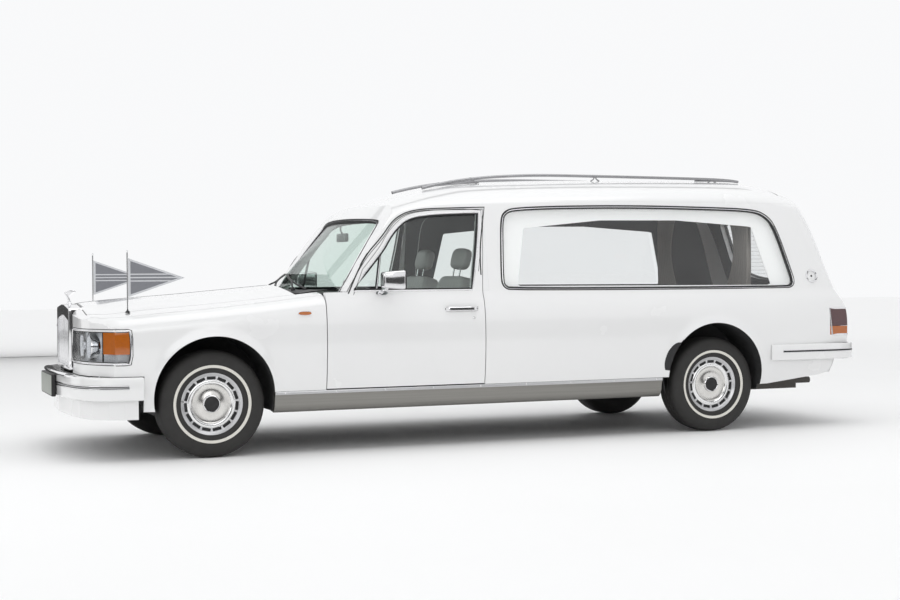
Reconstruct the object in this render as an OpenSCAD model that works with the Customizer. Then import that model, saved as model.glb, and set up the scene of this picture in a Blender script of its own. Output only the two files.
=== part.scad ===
// Hearse on a long two-door saloon body, with opening doors, bonnet and tailgate.
// Millimetres. +X is forward, +Y is the car's left, +Z is up.
// The origin lies on the ground under the middle of the overall length.

/* [Overall] */
// Distance between the axles
wheelbase = 3625; // [3300:25:4400]
// Front axle to the foremost point
front_overhang = 900; // [900:10:1080]
// Rear axle to the rearmost point
rear_overhang = 1325; // [1300:5:1590]
// Width over the body sides
body_w = 1886; // [1800:2:2264]
// Height of the roof at its middle
roof_z = 1847; // [1800:1:2060]
// Height of the waist, where the side glass starts
waist_z = 1030; // [1010:5:1050]
// Height of the joint between the sills and the doors
sill_z = 405; // [385:5:420]

/* [Wheels] */
// Distance between the middles of the two wheels of an axle
track = 1549; // [1480:1:1590]
// Outside radius of a tyre, which is also the height of the hubs
tyre_r = 338; // [290:2:350]
// Width of a tyre
tyre_w = 225; // [185:5:235]
// Radius of the wheel at its rim flange
rim_r = 207; // [190:1:225]
// Radius of the wheel arches in the body sides
arch_r = 378; // [370:1:390]
// Radius of the wheel spindles
spindle_r = 24; // [18:1:30]
// Radius of the kingpins
kingpin_r = 14; // [10:1:18]

/* [Panels] */
// Thickness of the doors and the body sides
wall_t = 78; // [64:1:94]
// Thickness of the window frames above the waist
frame_t = 45; // [36:1:56]
// Thickness of the wings and the bonnet
skin_t = 22; // [14:1:28]
// Thickness of the roof with its lining
roof_t = 38; // [28:1:50]
// Thickness of the tailgate
gate_t = 60; // [44:1:74]
// Gap round each door and lid
shut_gap = 6; // [6:0.5:9]
// Length of a door at the waist
door_l = 1100; // [1000:10:1180]
// Thickness of the glass
glass_t = 6; // [4:0.5:9]

/* [Inside] */
// Height of the coffin deck
deck_z = 640; // [560:10:720]
// Width of the coffin deck
deck_w = 980; // [860:10:1060]
// Height of a seat cushion's top above the floor
seat_h = 300; // [260:10:340]

/* [Hidden] */
$fn = 48;

// Named clearances
seat_gap = 0.3;
run_gap = 0.05;

// Places along the car
overall_l = wheelbase + front_overhang + rear_overhang;
front_x = overall_l / 2 - front_overhang;
rear_x = front_x - wheelbase;
half_w = body_w / 2;
hub_y = track / 2;
hub_z = tyre_r;
door_front_x = front_x - 730;
door_rear_x = door_front_x - door_l;
quarter_x = door_rear_x - 150;

function fx(a) = front_x + a;
function rx(a) = rear_x + a;

// Smooth curve through [position, value] points, read at x
function seg(x, p, i = 0) = (i >= len(p) - 2 || x < p[i + 1][0]) ? i : seg(x, p, i + 1);
function slope(p, i) =
    let (a = max(i - 1, 0), b = min(i + 1, len(p) - 1)) (p[b][1] - p[a][1]) / (p[b][0] - p[a][0]);
function curve(x, p) =
    let (
        i = seg(x, p),
        h = p[i + 1][0] - p[i][0],
        t = min(max((x - p[i][0]) / h, 0), 1)
    )
    (2 * t * t * t - 3 * t * t + 1) * p[i][1] + (t * t * t - 2 * t * t + t) * h * slope(p, i)
    + (3 * t * t - 2 * t * t * t) * p[i + 1][1] + (t * t * t - t * t) * h * slope(p, i + 1);
function bezier(a, b, c, d, t) =
    pow(1 - t, 3) * a + 3 * t * pow(1 - t, 2) * b + 3 * t * t * (1 - t) * c + pow(t, 3) * d;

// How far the side skin lies inside the full half width, by height
side_inset = [
    [sill_z - 160, 66], [sill_z + 5, 26], [620, 3], [760, 0], [870, 6], [955, 22], [waist_z, 50],
    [waist_z + 570, 152], [waist_z + 700, 188]
];
// How far it is drawn in towards the nose and the tail
plan_inset = [
    [rx(-1300), 60], [rx(-1000), 24], [rx(-700), 7], [rx(-300), 0], [fx(-200), 0],
    [fx(200), 8], [fx(450), 28], [fx(600), 45], [fx(800), 90]
];
function side_y(x, z) = half_w - curve(z, side_inset) - curve(x, plan_inset);

// Height of the roof along its middle and along its edges
roof_mid = [
    [rx(-1000), roof_z - 120], [rx(-745), roof_z - 42], [rx(-600), roof_z - 10],
    [rx(-415), roof_z], [rx(459), roof_z - 6], [fx(-2400), roof_z - 25],
    [fx(-1868), roof_z - 56], [fx(-1637), roof_z - 96], [fx(-1410), roof_z - 157],
    [fx(-1112), roof_z - 262], [fx(-600), roof_z - 480]
];
roof_edge = [
    [rx(-1000), roof_z - 330], [rx(-745), roof_z - 245], [rx(-415), roof_z - 200],
    [rx(459), roof_z - 200], [fx(-1868), roof_z - 235], [fx(-1501), roof_z - 250],
    [fx(-1309), roof_z - 285], [fx(-1225), roof_z - 330], [fx(-1138), roof_z - 420],
    [fx(-727), roof_z - 620]
];
// Height of the bonnet along its middle and of the wing crowns
bonnet_mid = [[fx(-760), 1090], [fx(-589), 1077], [fx(19), 1025], [fx(650), 975], [fx(800), 940]];
wing_crown = [[fx(-760), 1012], [fx(-171), 948], [fx(490), 891], [fx(800), 858]];

// Half section of the cabin from the sill to the middle of the roof
low_steps = 10;
high_steps = 5;
roof_steps = 8;
function cabin_half(x) =
    let (
        ze = curve(x, roof_edge),
        zm = curve(x, roof_mid),
        ye = side_y(x, ze),
        rise = zm - ze,
        z0 = sill_z - 80
    )
    concat(
        [for (i = [0 : low_steps - 1]) let (z = z0 + (waist_z - z0) * i / low_steps) [side_y(x, z), z]],
        [for (i = [0 : high_steps - 1]) let (z = waist_z + (ze - waist_z) * i / high_steps) [side_y(x, z), z]],
        [for (i = [0 : roof_steps]) bezier(
            [ye, ze], [ye - 0.12 * rise, ze + 0.55 * rise], [0.5 * ye, zm], [0, zm], i / roof_steps)]
    );
// Half section of the front body from under the wing to the middle of the bonnet
function front_half(x) =
    let (
        zc = curve(x, wing_crown),
        zm = curve(x, bonnet_mid),
        z0 = sill_z - 80,
        z1 = zc - 90,
        y1 = side_y(x, z1),
        y2 = y1 - 120
    )
    concat(
        [for (i = [0 : 7]) let (z = z0 + (z1 - z0) * i / 8) [side_y(x, z), z]],
        [for (i = [0 : 4]) bezier([y1, z1], [y1 - 6, zc - 40], [y1 - 40, zc - 4], [y2, zc + 12], i / 5)],
        [for (i = [0 : 6]) bezier([y2, zc + 12], [y2 * 0.75, zc + 32], [y2 * 0.4, zm], [0, zm], i / 6)]
    );

// Height of the roof and of the bonnet at a distance y from the middle, found by halving
function roof_at(x, y, a = 0, b = 1, n = 16) =
    let (
        t = (a + b) / 2,
        ze = curve(x, roof_edge),
        zm = curve(x, roof_mid),
        ye = side_y(x, ze),
        rise = zm - ze,
        p = bezier([ye, ze], [ye - 0.12 * rise, ze + 0.55 * rise], [0.5 * ye, zm], [0, zm], t)
    )
    n == 0 ? p[1] : p[0] > y ? roof_at(x, y, t, b, n - 1) : roof_at(x, y, a, t, n - 1);
function bonnet_at(x, y, a = 0, b = 1, n = 16) =
    let (
        t = (a + b) / 2,
        zc = curve(x, wing_crown),
        zm = curve(x, bonnet_mid),
        y2 = side_y(x, zc - 90) - 120,
        p = bezier([y2, zc + 12], [y2 * 0.75, zc + 32], [y2 * 0.4, zm], [0, zm], t)
    )
    n == 0 ? p[1] : p[0] > y ? bonnet_at(x, y, t, b, n - 1) : bonnet_at(x, y, a, t, n - 1);

// Moves each point of a half section inwards, by a depth that follows the height
function normal_at(p, i) =
    let (a = p[max(i - 1, 0)], b = p[min(i + 1, len(p) - 1)], d = b - a, l = norm(d))
    i == len(p) - 1 ? [0, 1] : [d[1] / l, -d[0] / l];
function sink(p, depth) = [for (i = [0 : len(p) - 1]) p[i] - depth[i] * normal_at(p, i)];
function full_ring(half, x, drop) =
    let (n = len(half), base = half[0])
    concat(
        [[x, base[0], base[1] - drop]],
        [for (p = half) [x, p[0], p[1]]],
        [for (i = [n - 2 : -1 : 0]) [x, -half[i][0], half[i][1]]],
        [[x, -base[0], base[1] - drop]]
    );

// Closed solid through rings that all have as many points
module loft(rings) {
    n = len(rings[0]);
    m = len(rings);
    polyhedron(
        points = [for (r = rings) each r],
        faces = concat(
            [[for (j = [0 : n - 1]) j]],
            [for (i = [0 : m - 2], j = [0 : n - 1]) each [
                [i * n + j, (i + 1) * n + (j + 1) % n, i * n + (j + 1) % n],
                [i * n + j, (i + 1) * n + j, (i + 1) * n + (j + 1) % n]
            ]],
            [[for (j = [n - 1 : -1 : 0]) (m - 1) * n + j]]
        )
    );
}

cabin_stations = concat(
    [for (i = [0 : 7]) rx(-1330 + i * 110)],
    [for (i = [1 : 8]) rx(-560) + (fx(-1900) - rx(-560)) * i / 8],
    [for (i = [1 : 15]) fx(-1900 + i * 85)]
);
front_stations = [for (i = [0 : 16]) fx(-760 + i * 97)];

// Cabin and load space as one closed body, sunk in by a depth for each region
module cabin_run(low, high, top) {
    loft([for (x = cabin_stations)
        let (half = cabin_half(x), depth = [for (p = half)
            p[1] < waist_z - 1 ? low : p[1] < curve(x, roof_edge) - 1 ? high : top])
        full_ring(sink(half, depth), x, low > 0 ? 200 : 20)]);
}
module front_run(depth) {
    loft([for (x = front_stations)
        let (half = front_half(x))
        full_ring(sink(half, [for (p = half) depth]), x, depth > 0 ? 200 : 20)]);
}

// Windscreen plane and tail, as the ends of the cabin in plan at each height
screen_base_z = 1045;
function screen_t(z) = max((z - screen_base_z) / 470, -0.6);
function screen_edge(z) = 780 - 160 * screen_t(z);
function screen_x(y, z) =
    let (t = screen_t(z))
    fx(-668) - 440 * t - (205 - 60 * t) * pow(min(abs(y), screen_edge(z)) / 780, 2);
tail_line = [
    [300, -1150], [380, -1190], [480, -1235], [620, -1248], [870, -1240], [995, -1172],
    [1220, -1088], [1390, -1030], [1576, -944], [1711, -836], [1800, -700], [1850, -560]
];
tail_depth = 185;
function tail_half(z) = side_y(rx(-1000), z) + 12;
function tail_x(r, z) = rx(curve(z, tail_line)) + tail_depth * (1 - pow(1 - pow(r, 3), 1 / 3));
module cabin_ends(depth) {
    levels = [260, 380, 480, 560, 620, 700, 780, 870, 930, 995, 1100, 1220, 1390, 1480, 1576, 1640,
        1711, 1760, 1800, 1850, 1900];
    wide = half_w + 60;
    loft([for (z = levels) concat(
        [for (i = [-8 : 8]) let (y = wide * i / 8) [screen_x(y, z) - depth * 1.35, y, z]],
        [[tail_x(1, z) + depth, wide, z]],
        [for (i = [14 : -1 : -14]) let (r = sin(i * 90 / 14))
            [tail_x(abs(r), z) + depth, r * tail_half(z), z]],
        [[tail_x(1, z) + depth, -wide, z]]
    )]);
}
module cabin_solid(low, high, top, ends) {
    intersection() {
        cabin_run(low, high, top);
        cabin_ends(ends);
    }
}
// A freeform panel is drawn as one closed mesh
module freeform() {
    resize([0, 0, 0]) union() children();
}
module cabin_shell() {
    difference() {
        cabin_solid(0, 0, 0, 0);
        cabin_solid(wall_t, frame_t, roof_t, gate_t);
    }
}

// Nose in plan: the lamps slope back from the radiator to the wing
module nose_plan(depth) {
    polygon([
        [fx(-900), -half_w - 40], [fx(-900), half_w + 40], [fx(565) - depth, half_w + 40],
        [fx(600) - depth, 885], [fx(752) - depth, 640], [fx(772) - depth, 300],
        [fx(772) - depth, -300], [fx(752) - depth, -640], [fx(600) - depth, -885],
        [fx(565) - depth, -half_w - 40]
    ]);
}
module front_solid(depth) {
    intersection() {
        front_run(depth);
        translate([0, 0, 60]) linear_extrude(1200) nose_plan(depth);
    }
}
module front_shell() {
    difference() {
        front_solid(0);
        front_solid(skin_t);
    }
}

// Side view outlines, drawn with X to the right and Z up, and cut through along Y
module through(y0, y1) {
    translate([0, y1, 0]) rotate([90, 0, 0]) linear_extrude(y1 - y0) children();
}
module side_box(x0, x1, z0, z1) {
    translate([x0, z0]) square([x1 - x0, z1 - z0]);
}
module door_outline(grow) {
    top = roof_z - 1847;
    polygon([
        [door_front_x - shut_gap / 2 + grow, sill_z + shut_gap - grow],
        [door_front_x - shut_gap / 2 + grow, waist_z],
        [door_front_x - 150 + grow, waist_z + 2],
        [door_front_x - 288 + grow, 1247 + 0.4 * top],
        [door_front_x - 424 + grow * 0.8, 1383 + 0.7 * top + grow * 0.5],
        [door_front_x - 495 + grow * 0.6, 1485 + top + grow * 0.7],
        [door_front_x - 579 + grow * 0.4, 1539 + top + grow],
        [door_front_x - 662, 1561 + top + grow],
        [door_front_x - 771, 1572 + top + grow],
        [door_rear_x - 300, 1586 + top + grow],
        [door_rear_x - 300, sill_z + shut_gap - grow]
    ]);
}
module door_window() {
    top = roof_z - 1847;
    polygon([
        [door_front_x - 196, waist_z + 18], [door_front_x - 420, 1300 + 0.7 * top],
        [door_front_x - 470, 1385 + 0.9 * top], [door_front_x - 540, 1462 + top],
        [door_front_x - 610, 1510 + top], [door_front_x - 720, 1531 + top],
        [door_front_x - 880, 1543 + top], [door_rear_x - 2, 1551 + top],
        [door_rear_x + 26, 1333 + 0.5 * top], [door_rear_x + 78, waist_z + 18]
    ]);
}
// The door turns about a vertical hinge line. Its rear edge is turned about that line too,
// so that it keeps its gap to the body side all the way.
hinge_in = 8;
hinge_back = 32;
hinge_x = door_front_x - hinge_back;
hinge_half = 24;
pin_r = 5;
door_hinge_z = [570, 800];
hinge_y = half_w - hinge_in;
door_reach = hinge_x - door_rear_x - shut_gap / 2;
module door_swing(grow) {
    translate([hinge_x, hinge_y, 0]) rotate_extrude($fn = 144) polygon([
        [0, 100], [door_reach + grow, 100], [door_reach + grow, waist_z],
        [door_reach + 52 + grow, roof_z - 240], [door_reach + 52 + grow, roof_z + 100],
        [0, roof_z + 100]
    ]);
}
module door_region(grow) {
    difference() {
        intersection() {
            through(300, half_w + 100) door_outline(grow);
            door_swing(grow);
        }
        cabin_run(wall_t + grow, frame_t + grow, roof_t + grow);
    }
}
// Long side window of the load space, with rounded corners
module long_window(grow) {
    top = roof_z - 1847;
    offset(delta = grow) polygon([
        [quarter_x - 8, 1060], [quarter_x, 1110], [quarter_x - 14, 1340 + 0.5 * top],
        [quarter_x - 28, 1520 + top], [quarter_x - 62, 1566 + top], [quarter_x - 130, 1586 + top],
        [quarter_x - 480, 1603 + top], [(quarter_x + rx(-500)) / 2, 1613 + top],
        [rx(-60), 1606 + top], [rx(-390), 1596 + top], [rx(-496), 1562 + top],
        [rx(-572), 1480 + top], [rx(-675), 1143], [rx(-690), 1075], [rx(-672), 1043],
        [rx(-620), 1031], [quarter_x - 60, 1036]
    ]);
}
module arch(x, z, r, y0, y1) {
    translate([x, y0, z]) rotate([-90, 0, 0]) cylinder(r = r, h = y1 - y0, $fn = 72);
}
rear_arch_z = 398;
front_arch_z = 388;
module mirrored(side) {
    mirror([0, side < 0 ? 1 : 0, 0]) children();
}

// Body panels
gate_y = 640;
gate_low_z = 650;
gate_front_x = rx(-715);
module wing() {
    color("white") difference() {
        intersection() {
            front_shell();
            through(lamp_inner_y, half_w + 100) union() {
                side_box(door_front_x + shut_gap / 2, fx(0), sill_z + seat_gap, 1300);
                side_box(fx(-10), bumper_x - 447, sill_z - 30, 1300);
                side_box(fx(300), fx(900), bumper_high_z + 2, 1300);
            }
        }
        arch(fx(-10), front_arch_z, arch_r, 300, half_w + 100);
        lamp_opening();
        bonnet_region(shut_gap);
        translate([fx(-760), 0, 850]) cube([200, 700 + shut_gap, 400]);
    }
}
lamp_inner_y = 300;
module bonnet_region(grow) {
    translate([0, 0, 850]) linear_extrude(400) polygon([
        [fx(-585) - grow, -700 - grow], [fx(-585) - grow, 700 + grow],
        [fx(600), 660 + grow], [fx(715) + grow, 560 + grow], [fx(715) + grow, 290 - grow],
        [fx(696) + grow, 288 - grow], [fx(696) + grow, -288 + grow], [fx(715) + grow, -290 + grow],
        [fx(715) + grow, -560 - grow], [fx(600), -660 - grow]
    ]);
}
lamp_low_z = 605;
lamp_high_z = 809;
lamp_split_y = 795;
module lamp_opening() {
    translate([0, 0, lamp_low_z - seat_gap]) linear_extrude(lamp_high_z - lamp_low_z + 2 * seat_gap)
        polygon([
            [fx(640), 300], [fx(900), 300], [fx(900), 1000], [fx(500) - seat_gap, 1000],
            [fx(500) - seat_gap, 850], [fx(640) - seat_gap, 700]
        ]);
}
module lamp_body(y0, y1) {
    intersection() {
        front_solid(0);
        translate([0, 0, lamp_low_z]) linear_extrude(lamp_high_z - lamp_low_z) intersection() {
            polygon([
                [fx(640), 310], [fx(900), 310], [fx(900), 1000], [fx(500), 1000], [fx(500), 850],
                [fx(640), 700]
            ]);
            translate([fx(400), y0]) square([600, y1 - y0]);
        }
    }
}
module wing_left() wing();
module wing_right() mirrored(-1) wing();
module headlamps() {
    color("gainsboro") for (side = [-1, 1]) mirrored(side) lamp_body(310, lamp_split_y);
}
module indicators() {
    color("orange") for (side = [-1, 1]) mirrored(side) lamp_body(lamp_split_y + seat_gap, 1000);
}
bonnet_pin_x = fx(-565);
bonnet_pin_z = 1024;
bonnet_lug_up = 17;
bonnet_pin_y = 330;
module bonnet() {
    color("white") {
        intersection() {
            front_shell();
            bonnet_region(0);
        }
        for (side = [-1, 1]) mirrored(side) difference() {
            translate([bonnet_pin_x - 12, bonnet_pin_y, bonnet_pin_z - 12])
                cube([40, 12, 12 + bonnet_lug_up]);
            translate([bonnet_pin_x, bonnet_pin_y - 1, bonnet_pin_z]) rotate([-90, 0, 0])
                cylinder(r = pin_r + run_gap, h = 14);
        }
    }
}
module roof_panel() {
    color("white") freeform() difference() {
        intersection() {
            cabin_shell();
            through(-half_w - 100, half_w + 100) union() {
                side_box(rx(-1400), fx(-600), roof_z - 197, roof_z + 100);
                side_box(door_rear_x - 46, fx(-600), waist_z + 4, roof_z);
            }
        }
        for (side = [-1, 1]) mirrored(side) {
            door_region(shut_gap);
            quarter_region(seat_gap);
        }
        gate_region(shut_gap);
        translate([gate_front_x, -gate_y - shut_gap, 1500])
            cube([gate_top_gap, 2 * (gate_y + shut_gap), 500]);
        screen_region(0);
    }
}
gate_top_gap = 14;
module quarter_region(grow) {
    through(300, half_w + 100) side_box(rx(-1400), door_rear_x - 46 + grow, 0, roof_z - 197 + grow);
}
module screen_region(grow) {
    // Windscreen opening in front view, drawn with Y to the right and Z up
    rotate([90, 0, 90]) translate([0, 0, fx(-1400)]) linear_extrude(1000) polygon([
        [-775 - grow, screen_base_z - 40], [775 + grow, screen_base_z - 40],
        [775 + grow, screen_base_z + 5], [640 + grow, roof_z - 368], [600, roof_z - 345 + grow],
        [0, roof_z - 328 + grow], [-600, roof_z - 345 + grow], [-640 - grow, roof_z - 368],
        [-775 - grow, screen_base_z + 5]
    ]);
}
gate_pin_x = gate_front_x - 20;
gate_pin_z = roof_z - 65;
gate_pin_y = 300;
module gate_region(grow) {
    translate([rx(-1500), -gate_y - grow, gate_low_z - grow])
        cube([gate_front_x + grow - rx(-1500), 2 * (gate_y + grow), 1400]);
}
module body_side() {
    color("white") freeform() difference() {
        intersection() {
            cabin_shell();
            quarter_region(0);
            translate([rx(-1400), 300, 330]) cube([6000, 800, 1500]);
        }
        door_region(shut_gap);
        door_swing(shut_gap);
        through(300, half_w + 100) long_window(0);
        arch(rx(5), rear_arch_z, arch_r + 7, 300, half_w + 100);
        through(300, half_w + 100) side_box(rx(0), fx(0), 200, sill_z + seat_gap);
        gate_region(shut_gap);
        translate([rx(-1500), 0, 300]) cube([700, gate_y + shut_gap, 360]);
        tail_lamp_region(seat_gap);
    }
}
module body_side_left() body_side();
module body_side_right() mirrored(-1) body_side();
tail_low_z = 676;
tail_high_z = 872;
module tail_lamp_region(grow) {
    translate([rx(-1400), gate_y + 40 - grow, tail_low_z - grow])
        cube([rx(-982) + grow - rx(-1400), 500, tail_high_z - tail_low_z + 2 * grow]);
}
module tail_lamps() {
    color("darkred") freeform() for (side = [-1, 1]) mirrored(side) intersection() {
        difference() {
            cabin_solid(0, 0, 0, 0);
            cabin_solid(wall_t - 10, frame_t, roof_t, gate_t - 10);
        }
        tail_lamp_region(0);
    }
}
module rear_panel() {
    color("white") freeform() intersection() {
        cabin_shell();
        translate([rx(-1400), -gate_y - shut_gap + seat_gap, 380])
            cube([500, 2 * (gate_y + shut_gap - seat_gap), gate_low_z - 380 - shut_gap]);
    }
}
module tailgate() {
    color("white") freeform() difference() {
        intersection() {
            cabin_shell();
            gate_region(0);
        }
        gate_window_region(0);
        for (side = [-1, 1]) mirrored(side) {
            translate([gate_pin_x - 9, gate_pin_y - 16, gate_pin_z - 90]) cube([60, 32, 98]);
            translate([gate_pin_x, gate_pin_y - 30, gate_pin_z]) rotate([-90, 0, 0])
                cylinder(r = pin_r + seat_gap, h = 60, $fn = 24);
        }
    }
}
// Gate hinges: a cranked arm under the roof edge, with a pin through the gate
module gate_hinges() {
    color("silver") for (side = [-1, 1]) mirrored(side) {
        translate([gate_pin_x, gate_pin_y - 26, gate_pin_z]) rotate([-90, 0, 0])
            cylinder(r = pin_r, h = 52);
        translate([gate_pin_x - 5, gate_pin_y - 9, gate_pin_z - 44]) cube([10, 18, 44]);
        translate([gate_pin_x - 5, gate_pin_y - 9, gate_pin_z - 54]) cube([84, 18, 10.1]);
        translate([gate_pin_x + 62, gate_pin_y - 9, gate_pin_z - 54])
            cube([17, 18, gate_hinge_seat() - gate_pin_z + 54]);
    }
}
function gate_hinge_seat() = roof_at(gate_pin_x + 62, gate_pin_y + 9) - roof_t - 1.4;
module gate_window_region(grow) {
    rotate([90, 0, 90]) translate([0, 0, rx(-1500)]) linear_extrude(900) polygon([
        [-520 - grow, 1080 - grow], [520 + grow, 1080 - grow], [520 + grow, 1480],
        [470, roof_z - 277 + grow], [-470, roof_z - 277 + grow], [-520 - grow, 1480]
    ]);
}
module pane(depth) {
    difference() {
        cabin_solid(depth, depth, depth, depth);
        cabin_solid(depth + glass_t, depth + glass_t, depth + glass_t, depth + glass_t);
    }
}
module tailgate_glass() {
    color([0.2, 0.25, 0.25, 0.5]) freeform() intersection() {
        pane(14);
        gate_window_region(-seat_gap);
    }
}
module windscreen() {
    color([0.6, 0.75, 0.7, 0.4]) freeform() intersection() {
        pane(10);
        screen_region(-seat_gap);
        translate([fx(-1400), -900, screen_base_z + 6]) cube([1000, 1800, 800]);
    }
}
module side_windows() {
    color([0.2, 0.25, 0.25, 0.5]) freeform() for (side = [-1, 1]) mirrored(side) intersection() {
        pane(12);
        through(300, half_w + 100) long_window(-seat_gap);
    }
}
module hinge_pocket(z) {
    translate([hinge_x - 16, half_w - wall_t - 20, z - hinge_half]) cube([60, wall_t + 18, 2 * hinge_half]);
    translate([hinge_x, hinge_y, z - hinge_half - 16])
        cylinder(r = pin_r + seat_gap, h = 2 * hinge_half + 32, $fn = 24);
}
module door() {
    color("white") freeform() difference() {
        intersection() {
            cabin_solid(0, 0, 0, 0);
            door_region(0);
        }
        through(300, half_w + 100) door_window();
        for (z = door_hinge_z) hinge_pocket(z);
    }
}
module door_left() door();
module door_right() mirrored(-1) door();
module door_glass() {
    color([0.6, 0.75, 0.7, 0.4]) freeform() intersection() {
        pane(16);
        through(300, half_w + 100) offset(delta = -seat_gap) door_window();
    }
}
module door_glass_left() door_glass();
module door_glass_right() mirrored(-1) door_glass();

// Front trim
bumper_low_z = 380;
bumper_high_z = 525;
bumper_x = fx(front_overhang - 28);
module bumper_plan(depth) {
    for (side = [-1, 1]) mirrored(side) polygon([
        [bumper_x - depth, -1], [bumper_x - 6 - depth, 250], [bumper_x - 24 - depth, 450],
        [bumper_x - 52 - depth, 640], [bumper_x - 92 - depth, 765], [bumper_x - 145 - depth, 850],
        [bumper_x - 215 - depth * 0.6, 905 - depth], [bumper_x - 310, 936 - depth],
        [bumper_x - 440, half_w + 6 - depth], [bumper_x - 440, half_w - 60],
        [bumper_x - 260, 860], [bumper_x - 190, 780], [bumper_x - 134, 600],
        [bumper_x - 114, 450], [bumper_x - 113, 300], [bumper_x - 96, -1]
    ]);
}
module front_bumper() {
    color("white") difference() {
        translate([0, 0, bumper_low_z]) linear_extrude(bumper_high_z - bumper_low_z) bumper_plan(0);
        arch(fx(-10), front_arch_z, arch_r + 60, 300, half_w + 100);
        arch(fx(-10), front_arch_z, arch_r + 60, -half_w - 100, -300);
    }
}
valance_low_z = 262;
module front_valance() {
    color("white") translate([0, 0, valance_low_z])
        linear_extrude(bumper_low_z - valance_low_z - seat_gap) for (side = [-1, 1]) mirrored(side) polygon([
            [bumper_x - 50, -1], [bumper_x - 74, 450], [bumper_x - 100, 640], [bumper_x - 150, 770],
            [bumper_x - 240, 860], [bumper_x - 330, 895], [bumper_x - 410, 905],
            [bumper_x - 410, 880], [bumper_x - 330, 868], [bumper_x - 256, 832],
            [bumper_x - 178, 746], [bumper_x - 128, 620], [bumper_x - 104, 440], [bumper_x - 80, -1]
        ]);
}
module front_plate() {
    color("dimgray") translate([bumper_x + seat_gap, -262, 376])
        cube([28 - seat_gap, 524, 142]);
}
module front_panel() {
    color("black") {
        translate([fx(655), -lamp_inner_y - 9.5, 400])
            cube([50 - seat_gap, 2 * lamp_inner_y + 19, 470]);
        translate([fx(655), -620, 400]) cube([50 - seat_gap, 1240, 196]);
        for (side = [-1, 1]) mirrored(side) translate([fx(640), 340, 410])
            cube([bumper_x - 114 - fx(640), 60, 90]);
    }
}
radiator_low_z = 545;
radiator_high_z = 962;
radiator_half = 282;
module radiator() {
    color("silver") {
        difference() {
            rotate([90, 0, 90]) translate([0, 0, fx(705)]) linear_extrude(86) polygon([
                [-radiator_half, radiator_low_z], [radiator_half, radiator_low_z],
                [radiator_half, radiator_high_z - 34], [radiator_half - 14, radiator_high_z - 18],
                [60, radiator_high_z], [-60, radiator_high_z], [-radiator_half + 14, radiator_high_z - 18],
                [-radiator_half, radiator_high_z - 34]
            ]);
            translate([fx(735), -radiator_half + 28, radiator_low_z + 26])
                cube([100, 2 * radiator_half - 56, radiator_high_z - radiator_low_z - 92]);
        }
        for (i = [-9 : 9]) translate([fx(734), i * 26 - 4, radiator_low_z + 25])
            cube([46, 8, radiator_high_z - radiator_low_z - 90]);
    }
}
mascot_x = fx(748);
module mascot() {
    color("silver") translate([mascot_x, 0, radiator_high_z + seat_gap]) {
        cylinder(r = 17, h = 8);
        cylinder(r = 12, h = 22);
        translate([0, 0, 20]) rotate([0, 16, 0]) rotate_extrude() polygon([
            [0, 0], [9, 0], [11, 18], [10, 40], [8, 56], [4, 66], [0, 68]
        ]);
        for (side = [-1, 1]) mirrored(side) translate([4, 5, 50]) rotate([90, 0, 0])
            translate([0, 0, -5]) linear_extrude(5) polygon([[8, 0], [10, 12], [-48, 34], [-36, 16]]);
    }
}
module scuttle() {
    color("white") {
        translate([fx(-640), -700, floor_top + seat_gap]) cube([30, 1400, 626]);
        for (side = [-1, 1]) mirrored(side) {
            translate([door_front_x + shut_gap + 2, 690, sill_z + seat_gap]) cube([door_post, 152, 545]);
            for (z = door_hinge_z) {
                translate([hinge_x, hinge_y, z - hinge_half - 15]) cylinder(r = pin_r, h = 2 * hinge_half + 30);
                translate([hinge_x, hinge_y, z - hinge_half + 4])
                    rotate([0, 0, atan2(strap_root[1] - hinge_y, strap_root[0] - hinge_x)])
                    translate([0, -4, 0])
                    cube([norm(strap_root - [hinge_x, hinge_y]), 8, 2 * hinge_half - 8]);
            }
            translate([bonnet_pin_x, bonnet_pin_y - 14, bonnet_pin_z]) rotate([-90, 0, 0])
                cylinder(r = pin_r, h = 25);
            translate([bonnet_pin_x - 8, bonnet_pin_y - 14, cowl_tray_z - 6])
                cube([16, 12, bonnet_pin_z + pin_r - cowl_tray_z + 6]);
        }
        translate([fx(-722), -700, cowl_tray_z - 20]) cube([170, 1400, 20]);
        // Cowl panel between the bonnet and the windscreen, and its riser
        translate([0, 0, 1012]) linear_extrude(12) polygon(concat(
            [[fx(-608), -690], [fx(-608), 690]],
            [for (i = [10 : -1 : -10]) let (y = 69 * i) [screen_x(y, screen_base_z) - 24, y]]
        ));
        translate([fx(-640), -690, 940]) cube([16, 1380, 80]);
    }
}
door_post = 92;
cowl_tray_z = 950;
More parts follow.
